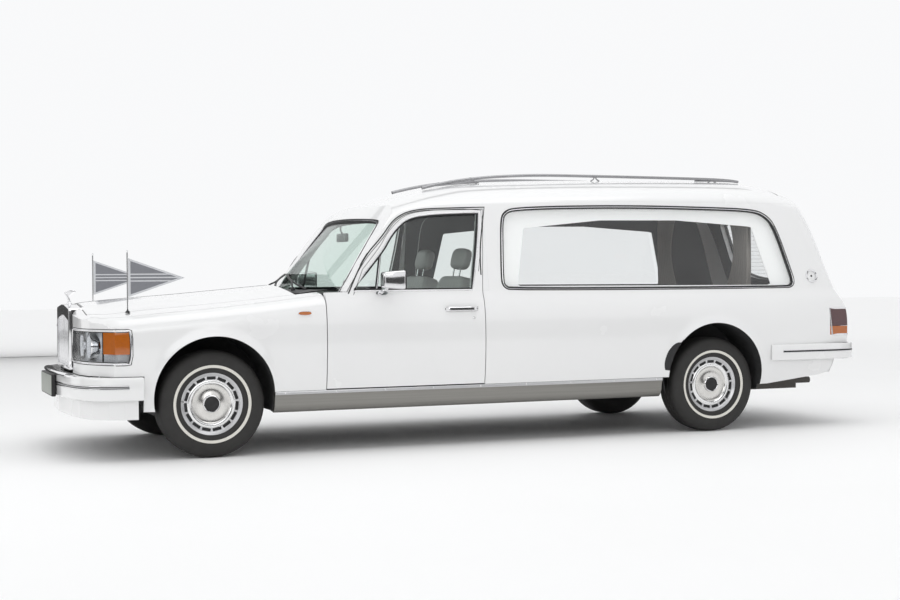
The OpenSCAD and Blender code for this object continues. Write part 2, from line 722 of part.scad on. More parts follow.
// Where a hinge strap leaves its door post
strap_root = [door_front_x + shut_gap + 6, 837];
module sill_profile() {
    polygon([
        [755, sill_z - 128], [half_w - 88, sill_z - 140], [half_w - 66, sill_z - 124],
        [half_w - 50, sill_z - 90], [half_w - 40, sill_z - 40], [half_w - 28, sill_z],
        [755, sill_z]
    ]);
}
module sills() {
    color("silver") for (side = [-1, 1]) mirrored(side)
        translate([fx(-394), 0, 0]) rotate([90, 0, -90]) mirror([1, 0, 0])
            linear_extrude(fx(-394) - rx(432)) sill_profile();
}
rear_bumper_high_z = 615;
module rear_bumper_plan() {
    z = rear_bumper_high_z;
    for (side = [-1, 1]) mirrored(side) polygon(concat(
        [
            [rx(-rear_overhang), -1], [rx(-rear_overhang + 6), 400], [rx(-rear_overhang + 26), 640],
            [rx(-rear_overhang + 66), 790], [rx(-rear_overhang + 130), 885],
            [rx(-rear_overhang + 230), 932], [rx(-rear_overhang + 400), half_w + 8],
            [rx(-455), half_w + 8]
        ],
        [for (x = [-455, -600, -750, -900, -1000]) [rx(x), side_y(rx(x), z) + seat_gap]],
        [for (i = [11 : -1 : 0]) let (r = sin(i * 90 / 12.4))
            [tail_x(r, z) - 0.6, r * tail_half(z) + 0.6]],
        [[tail_x(0, z) - 0.6, -1]]
    ));
}
module rear_bumper() {
    color("white") translate([0, 0, rear_bumper_high_z - 118]) linear_extrude(118) rear_bumper_plan();
}
rail_y = 500;
rail_r = 11;
rail_sides = 10;
rail_top_z = roof_z + 8;
rail_points = [
    [fx(-1520), rail_top_z - 130], [fx(-1620), rail_top_z - 98], [fx(-1760), rail_top_z - 66],
    [fx(-1920), rail_top_z - 40], [fx(-2100), rail_top_z - 21], [fx(-2500), rail_top_z - 2],
    [(fx(-2500) + rx(200)) / 2, rail_top_z], [rx(200), rail_top_z - 1], [rx(-250), rail_top_z - 6],
    [rx(-420), rail_top_z - 16], [rx(-490), rail_top_z - 30], [rx(-540), rail_top_z - 50]
];
rail_posts = [2, 6, 9];
module roof_rails() {
    n = len(rail_points);
    color("silver") for (side = [-1, 1]) mirrored(side) {
        loft([for (i = [n - 1 : -1 : 0])
            let (d = rail_points[max(i - 1, 0)] - rail_points[min(i + 1, n - 1)], u = d / norm(d))
            [for (k = [0 : rail_sides - 1]) let (a = k * 360 / rail_sides)
                [rail_points[i][0] - u[1] * rail_r * sin(a), rail_y + rail_r * cos(a),
                    rail_points[i][1] + u[0] * rail_r * sin(a)]]]);
        for (i = rail_posts) let (p = rail_points[i], seat = roof_at(p[0], rail_y - 9) - 0.8)
            translate([p[0], rail_y, seat]) cylinder(r = 8, h = p[1] - seat);
    }
}
module wheel_houses() {
    color("dimgray") {
        for (side = [-1, 1]) mirrored(side) {
            intersection() {
                house(fx(-10), front_arch_z, arch_r + 24, 448);
                front_run(skin_t + seat_gap);
            }
            intersection() {
                house(rx(5), rear_arch_z, arch_r + 24, 590);
                cabin_run(wall_t + seat_gap, frame_t, roof_t);
            }
        }
    }
}
house_t = 8;
module house(x, z, r, y0) {
    difference() {
        arch(x, z, r + house_t, y0, half_w);
        arch(x, z, r, y0 + house_t, half_w + 10);
        translate([x - r - 50, y0 - 10, 0]) cube([2 * r + 100, half_w, sill_z + 2]);
        translate([x - 90, y0 - 10, 0]) cube([180, house_t + 20, arm_high_z + 60]);
    }
}
load_floor_z = 520;
floor_t = 24;
load_front_x = door_rear_x - 131;
module floor_pan() {
    color("dimgray") difference() {
        union() {
            translate([load_front_x - floor_t, -750, floor_top - floor_t])
                cube([fx(-600) - load_front_x + floor_t, 1500, floor_t]);
            translate([load_front_x - floor_t, -750, floor_top - floor_t])
                cube([floor_t, 1500, load_floor_z - floor_top + 2 * floor_t]);
            translate([rx(-1040), -750, load_floor_z]) cube([load_front_x - rx(-1040), 1500, floor_t]);
            translate([rx(-1160), -610, load_floor_z]) cube([121, 1220, floor_t]);
        }
        for (side = [-1, 1]) mirrored(side)
            translate([rx(5) - arch_r - 34, 588, 200]) cube([2 * arch_r + 68, 400, 400]);
    }
}
module engine_block() {
    color("dimgray") translate([fx(-250), -270, arm_low_z + 60 + seat_gap]) cube([700, 540, 570]);
}
arm_low_z = hub_z - 122;
arm_high_z = hub_z + 108;
kingpin_y = hub_y - 75;
module front_subframe() {
    color("black") {
        difference() {
            union() {
                for (side = [-1, 1]) mirrored(side) {
                    for (z = [arm_low_z, arm_high_z]) {
                        translate([fx(-25), 410, z]) cube([50, kingpin_y - 410, 18]);
                        translate([fx(0), kingpin_y, z]) cylinder(r = 27, h = 18);
                    }
                    translate([fx(-60), 380, arm_low_z]) cube([120, 50, arm_high_z - arm_low_z + 18]);
                    translate([fx(-600), 360, 262]) cube([1240, 60, 50]);
                    translate([fx(-600), 360, 262]) cube([60, 60, floor_top - floor_t - seat_gap - 262]);
                }
                translate([fx(-60), -400, arm_low_z]) cube([120, 800, 60]);
                translate([fx(600), -400, 262]) cube([60, 800, 50]);
            }
            for (side = [-1, 1]) mirrored(side)
                translate([fx(0), kingpin_y, 0]) cylinder(r = kingpin_r + run_gap, h = 900);
        }
    }
}
module rear_axle() {
    color("black") {
        rotate([90, 0, 0]) translate([rx(0), hub_z, -560]) cylinder(r = 45, h = 1120);
        translate([rx(0), 0, hub_z]) sphere(r = 110);
        for (side = [-1, 1]) mirrored(side) {
            translate([rx(-30), 520, hub_z - 30]) cube([60, hub_y - 60 - 520, 60]);
            translate([rx(0), hub_y - 62, hub_z]) rotate([-90, 0, 0]) cylinder(r = spindle_r, h = spindle_l);
            translate([rx(-30), 500, hub_z - 40]) cube([430, 50, 40]);
            translate([rx(340), 495, hub_z - 40]) cube([60, 60, load_floor_z - seat_gap - hub_z + 40]);
        }
    }
}
spindle_l = 108;
module exhaust() {
    color("gray") {
        translate([rx(-1190), 330, 300]) rotate([0, 90, 0]) cylinder(r = 24, h = 720);
        translate([rx(-1000), 230, 250]) cube([420, 210, 100]);
        for (x = [-1100, -640]) translate([rx(x), 322, 310])
            cube([8, 16, load_floor_z - seat_gap - 310]);
    }
}
module dashboard() {
    color("black") difference() {
        translate([fx(-1010), -720, 760]) cube([287.7, 1440, 200]);
        translate([fx(-1060), -760, 700]) rotate([0, -28, 0]) cube([160, 1520, 120]);
    }
    color("black") translate([fx(-800), 240, 958]) cube([70, 260, 30]);
}
floor_top = 324;
module seats() {
    color("silver") for (y = [-370, 370]) translate([fx(-1620), y, floor_top + seat_gap]) {
        translate([-60, -250, 60]) cube([540, 500, seat_h - 60]);
        translate([-20, -200, 0]) cube([440, 400, 61]);
        translate([-62, -245, seat_h - 40]) rotate([0, -14, 0]) translate([-110, 0, 0])
            cube([120, 490, 560]);
        translate([-62, 0, seat_h - 40]) rotate([0, -14, 0]) {
            translate([-90, -120, 590]) cube([80, 240, 150]);
            for (dy = [-60, 60]) translate([-50, dy, 555]) cylinder(r = 7, h = 40);
        }
    }
}
module partition() {
    color("gainsboro") translate([load_front_x + 1, -735, floor_top + seat_gap]) cube([26, 1470, 700]);
}
module coffin_deck() {
    color("saddlebrown") {
        translate([rx(-1060), -deck_w / 2, deck_z - 40])
            cube([door_rear_x - 140 - rx(-1060), deck_w, 40]);
        for (side = [-1, 1]) mirrored(side)
            translate([rx(-1060), deck_w / 2 - 60, load_floor_z + floor_t + seat_gap])
                cube([door_rear_x - 140 - rx(-1060), 40, deck_z - 39 - load_floor_z - floor_t]);
    }
}
curtain_low_z = 1052;
curtain_high_z = roof_z - 206;
curtain_x = rx(-400);
module curtains() {
    color("gray") for (side = [-1, 1]) mirrored(side)
        translate([curtain_x, 0, 0]) rotate([90, 0, 90]) linear_extrude(330) polygon([
            [side_y(curtain_x, curtain_low_z) - frame_t - 0.9, curtain_low_z],
            [side_y(curtain_x, curtain_high_z) - frame_t + 2.2, curtain_high_z],
            [side_y(curtain_x, curtain_high_z) - frame_t - 26, curtain_high_z],
            [side_y(curtain_x, curtain_low_z) - frame_t - 26, curtain_low_z]
        ]);
}
wheel_rake = 24;
module steering_wheel() {
    color("black") translate([fx(-1120), 370, 930]) rotate([0, wheel_rake - 90, 0]) {
        rotate_extrude() translate([188, 0]) circle(r = 13);
        for (a = [0, 120, 240]) rotate(a) translate([30, -9, -5]) cube([160, 18, 10]);
        cylinder(r = 42, h = 24, center = true);
        translate([0, 0, -111]) cylinder(r = 20, h = 111);
    }
}
flag_x = fx(490);
flag_y = 711;
flag_pole_r = 4;
flag_base_z = bonnet_at(flag_x, flag_y - 15) + 1;
module flag_poles() {
    color("silver") for (side = [-1, 1]) mirrored(side) translate([flag_x, flag_y, flag_base_z]) {
        cylinder(r = 15, h = 22);
        cylinder(r = flag_pole_r, h = 380);
        translate([0, 0, 384]) sphere(r = 7);
    }
}
module flags() {
    color("gray") for (side = [-1, 1]) mirrored(side)
        translate([flag_x - flag_pole_r - seat_gap, flag_y + 3, flag_base_z]) rotate([90, 0, 0])
            linear_extrude(6) polygon([[0, 97], [0, 341], [-354, 216]]);
}
mirror_x = door_front_x - 428;
handle_z = 900;
module door_fittings() {
    color("silver") {
        translate([mirror_x, half_w + 26, waist_z + 4]) cube([86, 118, 140]);
        translate([mirror_x + 26, side_y(mirror_x, waist_z + 4) + seat_gap, waist_z + 4])
            cube([34, 150, 24]);
        translate([door_rear_x + 54, side_y(door_rear_x, handle_z) + seat_gap, handle_z])
            cube([230, 34, 26]);
    }
}
module door_fittings_left() door_fittings();
module door_fittings_right() mirrored(-1) door_fittings();
module rear_plate() {
    plate_x = min([for (z = [700 : 13 : 830]) tail_x(0, z)]) - 24 - seat_gap;
    color("dimgray") translate([plate_x, -260, 700]) cube([24, 520, 130]);
}
module knuckle(side) {
    color("black") mirrored(side) translate([fx(0), 0, 0]) {
        translate([0, kingpin_y, arm_low_z - 4]) cylinder(r = kingpin_r, h = arm_high_z - arm_low_z + 30);
        translate([-30, kingpin_y - 26, arm_low_z + 24]) cube([60, 52, arm_high_z - arm_low_z - 30]);
        translate([0, hub_y - 62, hub_z]) rotate([-90, 0, 0]) cylinder(r = spindle_r, h = spindle_l);
        translate([-150, kingpin_y - 50, hub_z - 70]) cube([140, 26, 26]);
    }
}
module knuckle_left() knuckle(1);
module knuckle_right() knuckle(-1);
module on_axle(x, side) {
    mirrored(side) translate([x, hub_y, hub_z]) rotate([-90, 0, 0]) children();
}
module tyre() {
    color([0.1, 0.1, 0.1]) rotate_extrude($fn = 96) polygon([
        [rim_r - 12, -tyre_w / 2 + 22], [rim_r + 10, -tyre_w / 2 + 12], [rim_r + 45, -tyre_w / 2 + 1],
        [rim_r + 60, -tyre_w / 2], [tyre_r - 40, -tyre_w / 2 + 4], [tyre_r - 14, -tyre_w / 2 + 16],
        [tyre_r - 3, -tyre_w / 2 + 34], [tyre_r, -tyre_w / 2 + 60],
        [tyre_r, tyre_w / 2 - 60], [tyre_r - 3, tyre_w / 2 - 34], [tyre_r - 14, tyre_w / 2 - 16],
        [tyre_r - 40, tyre_w / 2 - 4], [rim_r + 60, tyre_w / 2], [rim_r + 45, tyre_w / 2 - 1],
        [rim_r + 10, tyre_w / 2 - 12], [rim_r - 12, tyre_w / 2 - 22]
    ]);
}
module wheel() {
    bead = tyre_w / 2 - 22;
    color("silver") {
        difference() {
            rotate_extrude($fn = 96) polygon([
                [rim_r - 12, -bead], [rim_r - 22, -bead], [rim_r - 22, 30], [rim_r - 60, 44],
                [rim_r - 60, 50], [70, 58], [70, 40], [50, 40], [50, 80], [70, 82],
                [rim_r - 60, 70], [rim_r - 12, bead]
            ]);
            for (i = [0 : 14]) rotate(i * 24) translate([rim_r - 43, 0, 66])
                cube([22, 24, 60], center = true);
        }
        difference() {
            cylinder(r = 52, h = 78);
            translate([0, 0, -100]) cylinder(r = spindle_r + run_gap, h = 148);
        }
    }
}
module tyre_front_left() on_axle(fx(0), 1) tyre();
module tyre_front_right() on_axle(fx(0), -1) tyre();
module tyre_rear_left() on_axle(rx(0), 1) tyre();
module tyre_rear_right() on_axle(rx(0), -1) tyre();
module wheel_front_left() on_axle(fx(0), 1) wheel();
module wheel_front_right() on_axle(fx(0), -1) wheel();
module wheel_rear_left() on_axle(rx(0), 1) wheel();
module wheel_rear_right() on_axle(rx(0), -1) wheel();

floor_pan();
wing_left();
wing_right();
front_panel();
radiator();
mascot();
headlamps();
indicators();
front_bumper();
front_valance();
front_plate();
scuttle();
windscreen();
roof_panel();
body_side_left();
body_side_right();
side_windows();
sills();
tail_lamps();
rear_bumper();
rear_panel();
gate_hinges();
roof_rails();
wheel_houses();
engine_block();
front_subframe();
rear_axle();
exhaust();
dashboard();
seats();
partition();
coffin_deck();
curtains();
steering_wheel();
flag_poles();
flags();
bonnet();
door_left();
door_right();
door_glass_left();
door_glass_right();
door_fittings_left();
door_fittings_right();
tailgate();
tailgate_glass();
rear_plate();
knuckle_left();
knuckle_right();
tyre_front_left();
tyre_front_right();
tyre_rear_left();
tyre_rear_right();
wheel_front_left();
wheel_front_right();
wheel_rear_left();
wheel_rear_right();
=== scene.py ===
import math
import bmesh
import bpy
import numpy as np
from mathutils import Matrix, Vector


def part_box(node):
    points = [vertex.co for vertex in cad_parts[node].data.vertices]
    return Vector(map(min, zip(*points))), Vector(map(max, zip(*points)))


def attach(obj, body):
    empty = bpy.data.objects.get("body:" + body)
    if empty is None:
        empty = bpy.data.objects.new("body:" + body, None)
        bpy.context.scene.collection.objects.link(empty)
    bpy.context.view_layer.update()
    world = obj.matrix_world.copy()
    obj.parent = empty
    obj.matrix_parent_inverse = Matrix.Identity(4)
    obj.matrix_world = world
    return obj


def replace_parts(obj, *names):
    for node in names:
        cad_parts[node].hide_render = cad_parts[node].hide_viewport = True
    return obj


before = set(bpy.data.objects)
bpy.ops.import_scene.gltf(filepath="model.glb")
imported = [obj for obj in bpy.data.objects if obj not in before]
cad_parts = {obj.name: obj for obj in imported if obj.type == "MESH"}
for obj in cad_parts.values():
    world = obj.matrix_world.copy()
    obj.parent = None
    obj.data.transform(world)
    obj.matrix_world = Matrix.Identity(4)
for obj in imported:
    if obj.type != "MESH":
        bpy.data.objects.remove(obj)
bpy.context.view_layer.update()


# Places along the car, in metres
def middle(node):
    low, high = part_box(node)
    return (low + high) / 2


frontX, hubZ = middle("tyre_front_left").x, middle("tyre_front_left").z
rearX = middle("tyre_rear_left").x
hubY = middle("tyre_front_left").y
car = {"halfW": 0.943, "roofZ": 1.847, "waistZ": 1.030, "sillZ": 0.405, "wall": 0.078, "frame": 0.045,
       "roof": 0.038, "gate": 0.060, "skin": 0.022, "gap": 0.006, "archR": 0.378, "doorL": 1.100}


def fx(a):
    return frontX + a / 1000


def rx(a):
    return rearX + a / 1000


doorFront = fx(-730)
doorRear = doorFront - car["doorL"]
quarterX = doorRear - 0.150
roofZ, waistZ, sillZ, halfW = car["roofZ"], car["waistZ"], car["sillZ"], car["halfW"]
frontArch = {"x": fx(-10), "z": 0.388, "r": car["archR"]}
rearArch = {"x": rx(5), "z": 0.398, "r": car["archR"] + 0.007}


# Tables of [place in metres, value in millimetres], read as smooth curves
def table(*rows):
    return np.array([[place, value / 1000] for place, value in rows])


sideInset = table((sillZ - 0.16, 66), (sillZ + 0.005, 26), (0.62, 3), (0.76, 0), (0.87, 6), (0.955, 22),
                  (waistZ, 50), (waistZ + 0.57, 152), (waistZ + 0.7, 188))
planInset = table((rx(-1300), 60), (rx(-1000), 24), (rx(-700), 7), (rx(-300), 0), (fx(-200), 0),
                  (fx(200), 8), (fx(450), 28), (fx(600), 45), (fx(800), 90))
roofMid = table((rx(-1000), 1727), (rx(-745), 1805), (rx(-600), 1837), (rx(-415), 1847), (rx(459), 1841),
                (fx(-2400), 1822), (fx(-1868), 1791), (fx(-1637), 1751), (fx(-1410), 1690),
                (fx(-1112), 1585), (fx(-600), 1367))
roofEdge = table((rx(-1000), 1517), (rx(-745), 1602), (rx(-415), 1647), (rx(459), 1647), (fx(-1868), 1612),
                 (fx(-1501), 1597), (fx(-1309), 1562), (fx(-1225), 1517), (fx(-1138), 1427), (fx(-727), 1227))
bonnetMid = table((fx(-760), 1090), (fx(-589), 1077), (fx(19), 1025), (fx(650), 975), (fx(800), 940))
wingCrown = table((fx(-760), 1012), (fx(-171), 948), (fx(490), 891), (fx(800), 858))
tailLine = table((0.3, -1150), (0.38, -1190), (0.48, -1235), (0.62, -1248), (0.87, -1240), (0.995, -1172),
                 (1.22, -1088), (1.39, -1030), (1.576, -944), (1.711, -836), (1.8, -700), (1.85, -560))
tailDepth = 0.185
screenBase = 1.045


def curve(x, rows):
    xs, ys = rows[:, 0], rows[:, 1]
    slopes = np.gradient(ys, xs)
    slopes[1:-1] = (ys[2:] - ys[:-2]) / (xs[2:] - xs[:-2])
    slopes[0] = (ys[1] - ys[0]) / (xs[1] - xs[0])
    slopes[-1] = (ys[-1] - ys[-2]) / (xs[-1] - xs[-2])
    i = np.clip(np.searchsorted(xs, x, "right") - 1, 0, len(xs) - 2)
    h = xs[i + 1] - xs[i]
    t = np.clip((x - xs[i]) / h, 0, 1)
    return ((2 * t**3 - 3 * t**2 + 1) * ys[i] + (t**3 - 2 * t**2 + t) * h * slopes[i]
            + (3 * t**2 - 2 * t**3) * ys[i + 1] + (t**3 - t**2) * h * slopes[i + 1])


def bezier(a, b, c, d, t):
    t = np.asarray(t)[:, None]
    return ((1 - t)**3 * np.array(a) + 3 * t * (1 - t)**2 * np.array(b)
            + 3 * t * t * (1 - t) * np.array(c) + t**3 * np.array(d))


def flare(x, z):  # the raised lip round each wheel arch
    lip = 0
    for arch in (frontArch, rearArch):
        d = np.hypot(x - arch["x"], z - arch["z"]) - arch["r"]
        t = np.clip(1 - d / 0.055, 0, 1)
        lip = lip + 0.012 * t * t * (3 - 2 * t)
    return lip


def sideY(x, z):
    return halfW - curve(z, sideInset) - curve(x, planInset)


def skinY(x, z):
    return sideY(x, z) + flare(x, z)


def screenT(z):
    return np.maximum((z - screenBase) / 0.47, -0.6)


def screenX(y, z):
    t = screenT(z)
    reach = np.minimum(np.abs(y), 0.78 - 0.16 * t)
    return fx(-668) - 0.44 * t - (0.205 - 0.06 * t) * (reach / 0.78)**2


def tailHalf(z):
    return sideY(rx(-1000), z) + 0.012


def tailX(r, z):
    r = np.minimum(np.abs(r), 1)
    return rearX + curve(z, tailLine) + tailDepth * (1 - (1 - r**3)**(1 / 3))


def roofAt(x, y):
    ze, zm = curve(x, roofEdge), curve(x, roofMid)
    ye = sideY(x, ze)
    p = bezier((ye, ze), (ye - 0.12 * (zm - ze), ze + 0.55 * (zm - ze)), (0.5 * ye, zm), (0, zm),
               np.linspace(0, 1, 200))
    return float(np.interp(-abs(y), -p[:, 0], p[:, 1]))


# Mesh tools
def alone(obj):
    bpy.ops.object.select_all(action="DESELECT")
    obj.select_set(True)
    bpy.context.view_layer.objects.active = obj


def solid(name, verts, faces, outward=True):
    mesh = bpy.data.meshes.new(name)
    mesh.from_pydata([tuple(v) for v in verts], [], faces)
    obj = bpy.data.objects.new(name, mesh)
    bpy.context.scene.collection.objects.link(obj)
    if outward:
        b = bmesh.new()
        b.from_mesh(mesh)
        bmesh.ops.recalc_face_normals(b, faces=b.faces)
        b.to_mesh(mesh)
        b.free()
    return obj


def loft(name, rings, closed=False):
    n, m = len(rings[0]), len(rings)
    faces = [(i * n + j, i * n + (j + 1) % n, (i + 1) % m * n + (j + 1) % n, (i + 1) % m * n + j)
             for i in range(m if closed else m - 1) for j in range(n)]
    if not closed:
        faces += [tuple(range(n)), tuple(range((m - 1) * n, m * n))]
    return solid(name, [p for ring in rings for p in ring], faces)


def prism(name, outline, low, high, way="Y"):  # an outline pushed along one axis
    order = {"Y": lambda p, d: (p[0], d, p[1]), "Z": lambda p, d: (p[0], p[1], d), "X": lambda p,
             d: (d, p[0], p[1])}[way]
    return loft(name, [[order(p, d) for p in outline] for d in (low, high)])


def copyOf(obj, name):
    made = bpy.data.objects.new(name, obj.data.copy())
    bpy.context.scene.collection.objects.link(made)
    return made


def boolean(target, cutter, kind="DIFFERENCE", keep=False):
    mod = target.modifiers.new("cut", "BOOLEAN")
    mod.operation, mod.solver, mod.object = kind, "MANIFOLD", cutter
    alone(target)
    bpy.ops.object.modifier_apply(modifier=mod.name)
    if not keep:
        bpy.data.objects.remove(cutter)
    return target


def flip(obj):  # to the other side of the car
    obj.data.transform(Matrix.Scale(-1, 4, (0, 1, 0)))
    obj.data.flip_normals()
    return obj


def mirrorOf(obj, name):
    return flip(copyOf(obj, name))


def thicken(obj, amount):
    mod = obj.modifiers.new("thick", "SOLIDIFY")
    mod.thickness, mod.offset = amount, 0
    alone(obj)
    bpy.ops.object.modifier_apply(modifier=mod.name)


def gridFaces(n, m):
    return [(i * (m + 1) + j, i * (m + 1) + j + 1, (i + 1) * (m + 1) + j + 1, (i + 1) * (m + 1) + j)
            for i in range(n) for j in range(m)]


def bevel(obj, width, segments=2, angle=35):
    mod = obj.modifiers.new("edge", "BEVEL")
    mod.width, mod.segments, mod.angle_limit = width, segments, math.radians(angle)
    alone(obj)
    bpy.ops.object.modifier_apply(modifier=mod.name)
    return obj


def box(name, low, high, edge=0.0, segments=2):
    bpy.ops.object.select_all(action="DESELECT")
    low, high = Vector(low), Vector(high)
    bpy.ops.mesh.primitive_cube_add(size=1, location=(low + high) / 2)
    obj = bpy.context.object
    obj.name = name
    obj.scale = high - low
    bpy.ops.object.transform_apply(location=True, rotation=True, scale=True)
    return bevel(obj, edge, segments) if edge else obj


def tube(name, points, radius, sides=12, closed=False):
    points = [Vector(p) for p in points]
    rings = []
    n = len(points)
    side = Vector((0, 0, 1))
    for i, p in enumerate(points):
        a, b = points[(i - 1) % n if closed else max(i - 1, 0)], points[(i + 1) % n if closed else min(i + 1,
                                                                                                       n - 1)]
        along = (b - a).normalized()
        side = (side - along * side.dot(along))
        side = side.normalized() if side.length > 1e-4 else along.orthogonal().normalized()
        other = along.cross(side)
        r = radius[i] if hasattr(radius, "__len__") else radius
        turns = [k * math.tau / sides for k in range(sides)]
        rings.append([p + side * r * math.cos(t) + other * r * math.sin(t) for t in turns])
    return loft(name, rings, closed)


def strip(name, points, outs, profile, closed=True):  # profile rows are (across, outwards)
    points, outs = [Vector(p) for p in points], [Vector(o).normalized() for o in outs]
    n = len(points)
    rings = []
    for i, (p, out) in enumerate(zip(points, outs)):
        a, b = points[(i - 1) % n if closed else max(i - 1, 0)], points[(i + 1) % n if closed else min(i + 1,
                                                                                                       n - 1)]
        along = (b - a).normalized()
        across = along.cross(out).normalized()
        rings.append([p + across * s + out * o for s, o in profile])
    return loft(name, rings, closed)


def lathe(name, profile, centre, side=1, steps=96, way="Y"):  # profile rows are (radius, height)
    mesh = bpy.data.meshes.new(name)
    c = Vector(centre)
    place = {"Y": lambda r, h: c + Vector((0, side * h, r)), "Z": lambda r, h: c + Vector((r, 0, h)),
             "X": lambda r, h: c + Vector((side * h, 0, r))}[way]
    axis = {"Y": (0, 1, 0), "Z": (0, 0, 1), "X": (1, 0, 0)}[way]
    mesh.from_pydata([place(r, h) for r, h in profile], [(i, i + 1) for i in range(len(profile) - 1)], [])
    obj = bpy.data.objects.new(name, mesh)
    bpy.context.scene.collection.objects.link(obj)
    alone(obj)
    bpy.ops.object.mode_set(mode="EDIT")
    bpy.ops.mesh.select_all(action="SELECT")
    bpy.ops.mesh.spin(steps=steps, angle=math.tau, center=centre, axis=axis)
    bpy.ops.mesh.select_all(action="SELECT")
    bpy.ops.mesh.remove_doubles(threshold=0.00002)
    bpy.ops.mesh.normals_make_consistent(inside=False)
    bpy.ops.object.mode_set(mode="OBJECT")
    return obj


def soften(points, sharp=(), rounds=2):  # cuts corners again and again, apart from the sharp ones
    points = [(tuple(p), i in sharp) for i, p in enumerate(points)]
    for _ in range(rounds):
        made = []
        for i, (a, hard) in enumerate(points):
            b, nextHard = points[(i + 1) % len(points)]
            a2, b2 = np.array(a), np.array(b)
            if hard:
                made.append((a, True))
            else:
                made.append((tuple(a2 * 0.75 + b2 * 0.25), False))
            if not nextHard:
                made.append((tuple(a2 * 0.25 + b2 * 0.75), False))
        points = made
    return [p for p, _ in points]


def joined(name, *objs):
    bpy.ops.object.select_all(action="DESELECT")
    for o in objs:
        o.select_set(True)
    bpy.context.view_layer.objects.active = objs[0]
    bpy.ops.object.join()
    objs[0].name = name
    return objs[0]


def done(obj, material, body="body", stands=(), angle=30):
    if material is not None:
        obj.data.materials.clear()
        obj.data.materials.append(material)
    if angle:
        alone(obj)
        bpy.ops.object.shade_smooth_by_angle(angle=math.radians(angle))
    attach(obj, body)
    if stands:
        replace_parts(obj, *([stands] if isinstance(stands, str) else stands))
    return obj


# Materials
class Wire:
    def __init__(self, owner, socket):
        self.owner, self.socket = owner, socket

    def join(self, kind, a, b):
        return self.owner.node("Math", {"operation": kind}, [a, b])

    def __add__(self, o): return self.join("ADD", self, o)
    def __radd__(self, o): return self.join("ADD", o, self)
    def __sub__(self, o): return self.join("SUBTRACT", self, o)
    def __rsub__(self, o): return self.join("SUBTRACT", o, self)
    def __mul__(self, o): return self.join("MULTIPLY", self, o)
    def __rmul__(self, o): return self.join("MULTIPLY", o, self)
    def __truediv__(self, o): return self.join("DIVIDE", self, o)
    def __abs__(self): return self.join("ABSOLUTE", self, 0)
    def __lt__(self, o): return self.join("LESS_THAN", self, o)
    def __gt__(self, o): return self.join("GREATER_THAN", self, o)


class Finish:
    def __init__(self, name, color=(0.8, 0.8, 0.8), rough=0.5, metal=0.0, **more):
        self.made = bpy.data.materials.new(name)
        self.made.use_nodes = True
        self.tree = self.made.node_tree
        self.shader = self.tree.nodes["Principled BSDF"]
        self.set("Base Color", (*color, 1))
        self.set("Roughness", rough)
        self.set("Metallic", metal)
        for key, value in more.items():
            self.set(key.replace("_", " "), value)

    def put(self, socket, value):
        if isinstance(value, Wire):
            self.tree.links.new(value.socket, socket)
        else:
            socket.default_value = value

    def set(self, key, value):
        self.put(self.shader.inputs[key], value)
        return self

    def node(self, kind, settings=None, values=(), out=0):
        made = self.tree.nodes.new("ShaderNode" + kind)
        for key, value in (settings or {}).items():
            if key == "stops":
                for place, color in value[1:-1]:
                    made.color_ramp.elements.new(place)
                for element, (place, color) in zip(made.color_ramp.elements, value):
                    element.position, element.color = place, (*color, 1)
            else:
                setattr(made, key, value)
        for key, value in (values.items() if isinstance(values, dict) else enumerate(values)):
            self.put(made.inputs[key], value)
        return Wire(self, made.outputs[out])

    def place(self, scale=(1, 1, 1)):
        spot = self.node("TexCoord", out="Object")
        return self.node("Mapping", {}, {"Vector": spot, "Scale": scale})

    def noise(self, scale, detail=3.0, stretch=(1, 1, 1)):
        return self.node("TexNoise", {}, {"Vector": self.place(stretch), "Scale": scale, "Detail": detail})

    def mix(self, amount, a, b):
        values = {0: amount, 6: a if isinstance(a, Wire) else (*a, 1),
                  7: b if isinstance(b, Wire) else (*b, 1)}
        return self.node("Mix", {"data_type": "RGBA"}, values, out=2)

    def bump(self, height, strength=0.3, depth=0.001):
        return self.set("Normal",
                        self.node("Bump", {}, {"Strength": strength, "Distance": depth, "Height": height}))

    def blotch(self, a, b, scale=6.0, detail=4.0, stretch=(1, 1, 1)):
        return self.set("Base Color", self.mix(self.noise(scale, detail, stretch), a, b))

    def worn(self, low, high, scale=9.0, stretch=(1, 1, 1)):
        return self.set("Roughness", self.noise(scale, 4.0, stretch) * (high - low) + low)


def shade(v, k):
    return tuple(min(1, c * k) for c in v)


def simple(name, color, low, high, metal=0.0, spread=0.12, scale=8.0, grain=None, **more):
    m = Finish(name, color, low, metal, **more)
    m.blotch(shade(color, 1 - spread), shade(color, 1 + spread), scale)
    m.worn(low, high, scale * 1.7)
    if grain:
        m.bump(m.noise(grain[0], 3.0), grain[1], grain[2])
    return m.made


paintFinish = Finish("whitePaint", (0.83, 0.83, 0.83), 0.26, 0.0, Coat_Weight=1.0, Coat_Roughness=0.03)
paintFinish.blotch((0.82, 0.822, 0.825), (0.85, 0.85, 0.846), 1.2)
paintFinish.worn(0.22, 0.3, 3.0)
paintFinish.bump(paintFinish.noise(900.0, 1.0), 0.03, 0.0002)
whitePaint = paintFinish.made
chrome = simple("chrome", (0.8, 0.8, 0.81), 0.05, 0.11, 1.0, 0.03, 20.0)
satinSilver = simple("satinSilver", (0.62, 0.62, 0.63), 0.28, 0.36, 1.0, 0.05, 30.0, (700.0, 0.08, 0.0002))
blackRubber = simple("blackRubber", (0.018, 0.018, 0.019), 0.55, 0.75, 0.0, 0.3, 40.0, (600.0, 0.3, 0.0004))
tyreRubber = simple("tyreRubber", (0.024, 0.023, 0.022), 0.6, 0.8, 0.0, 0.25, 12.0, (450.0, 0.35, 0.0006))
whiteWall = simple("whiteWall", (0.74, 0.72, 0.66), 0.5, 0.62, 0.0, 0.06, 30.0, (500.0, 0.2, 0.0003))
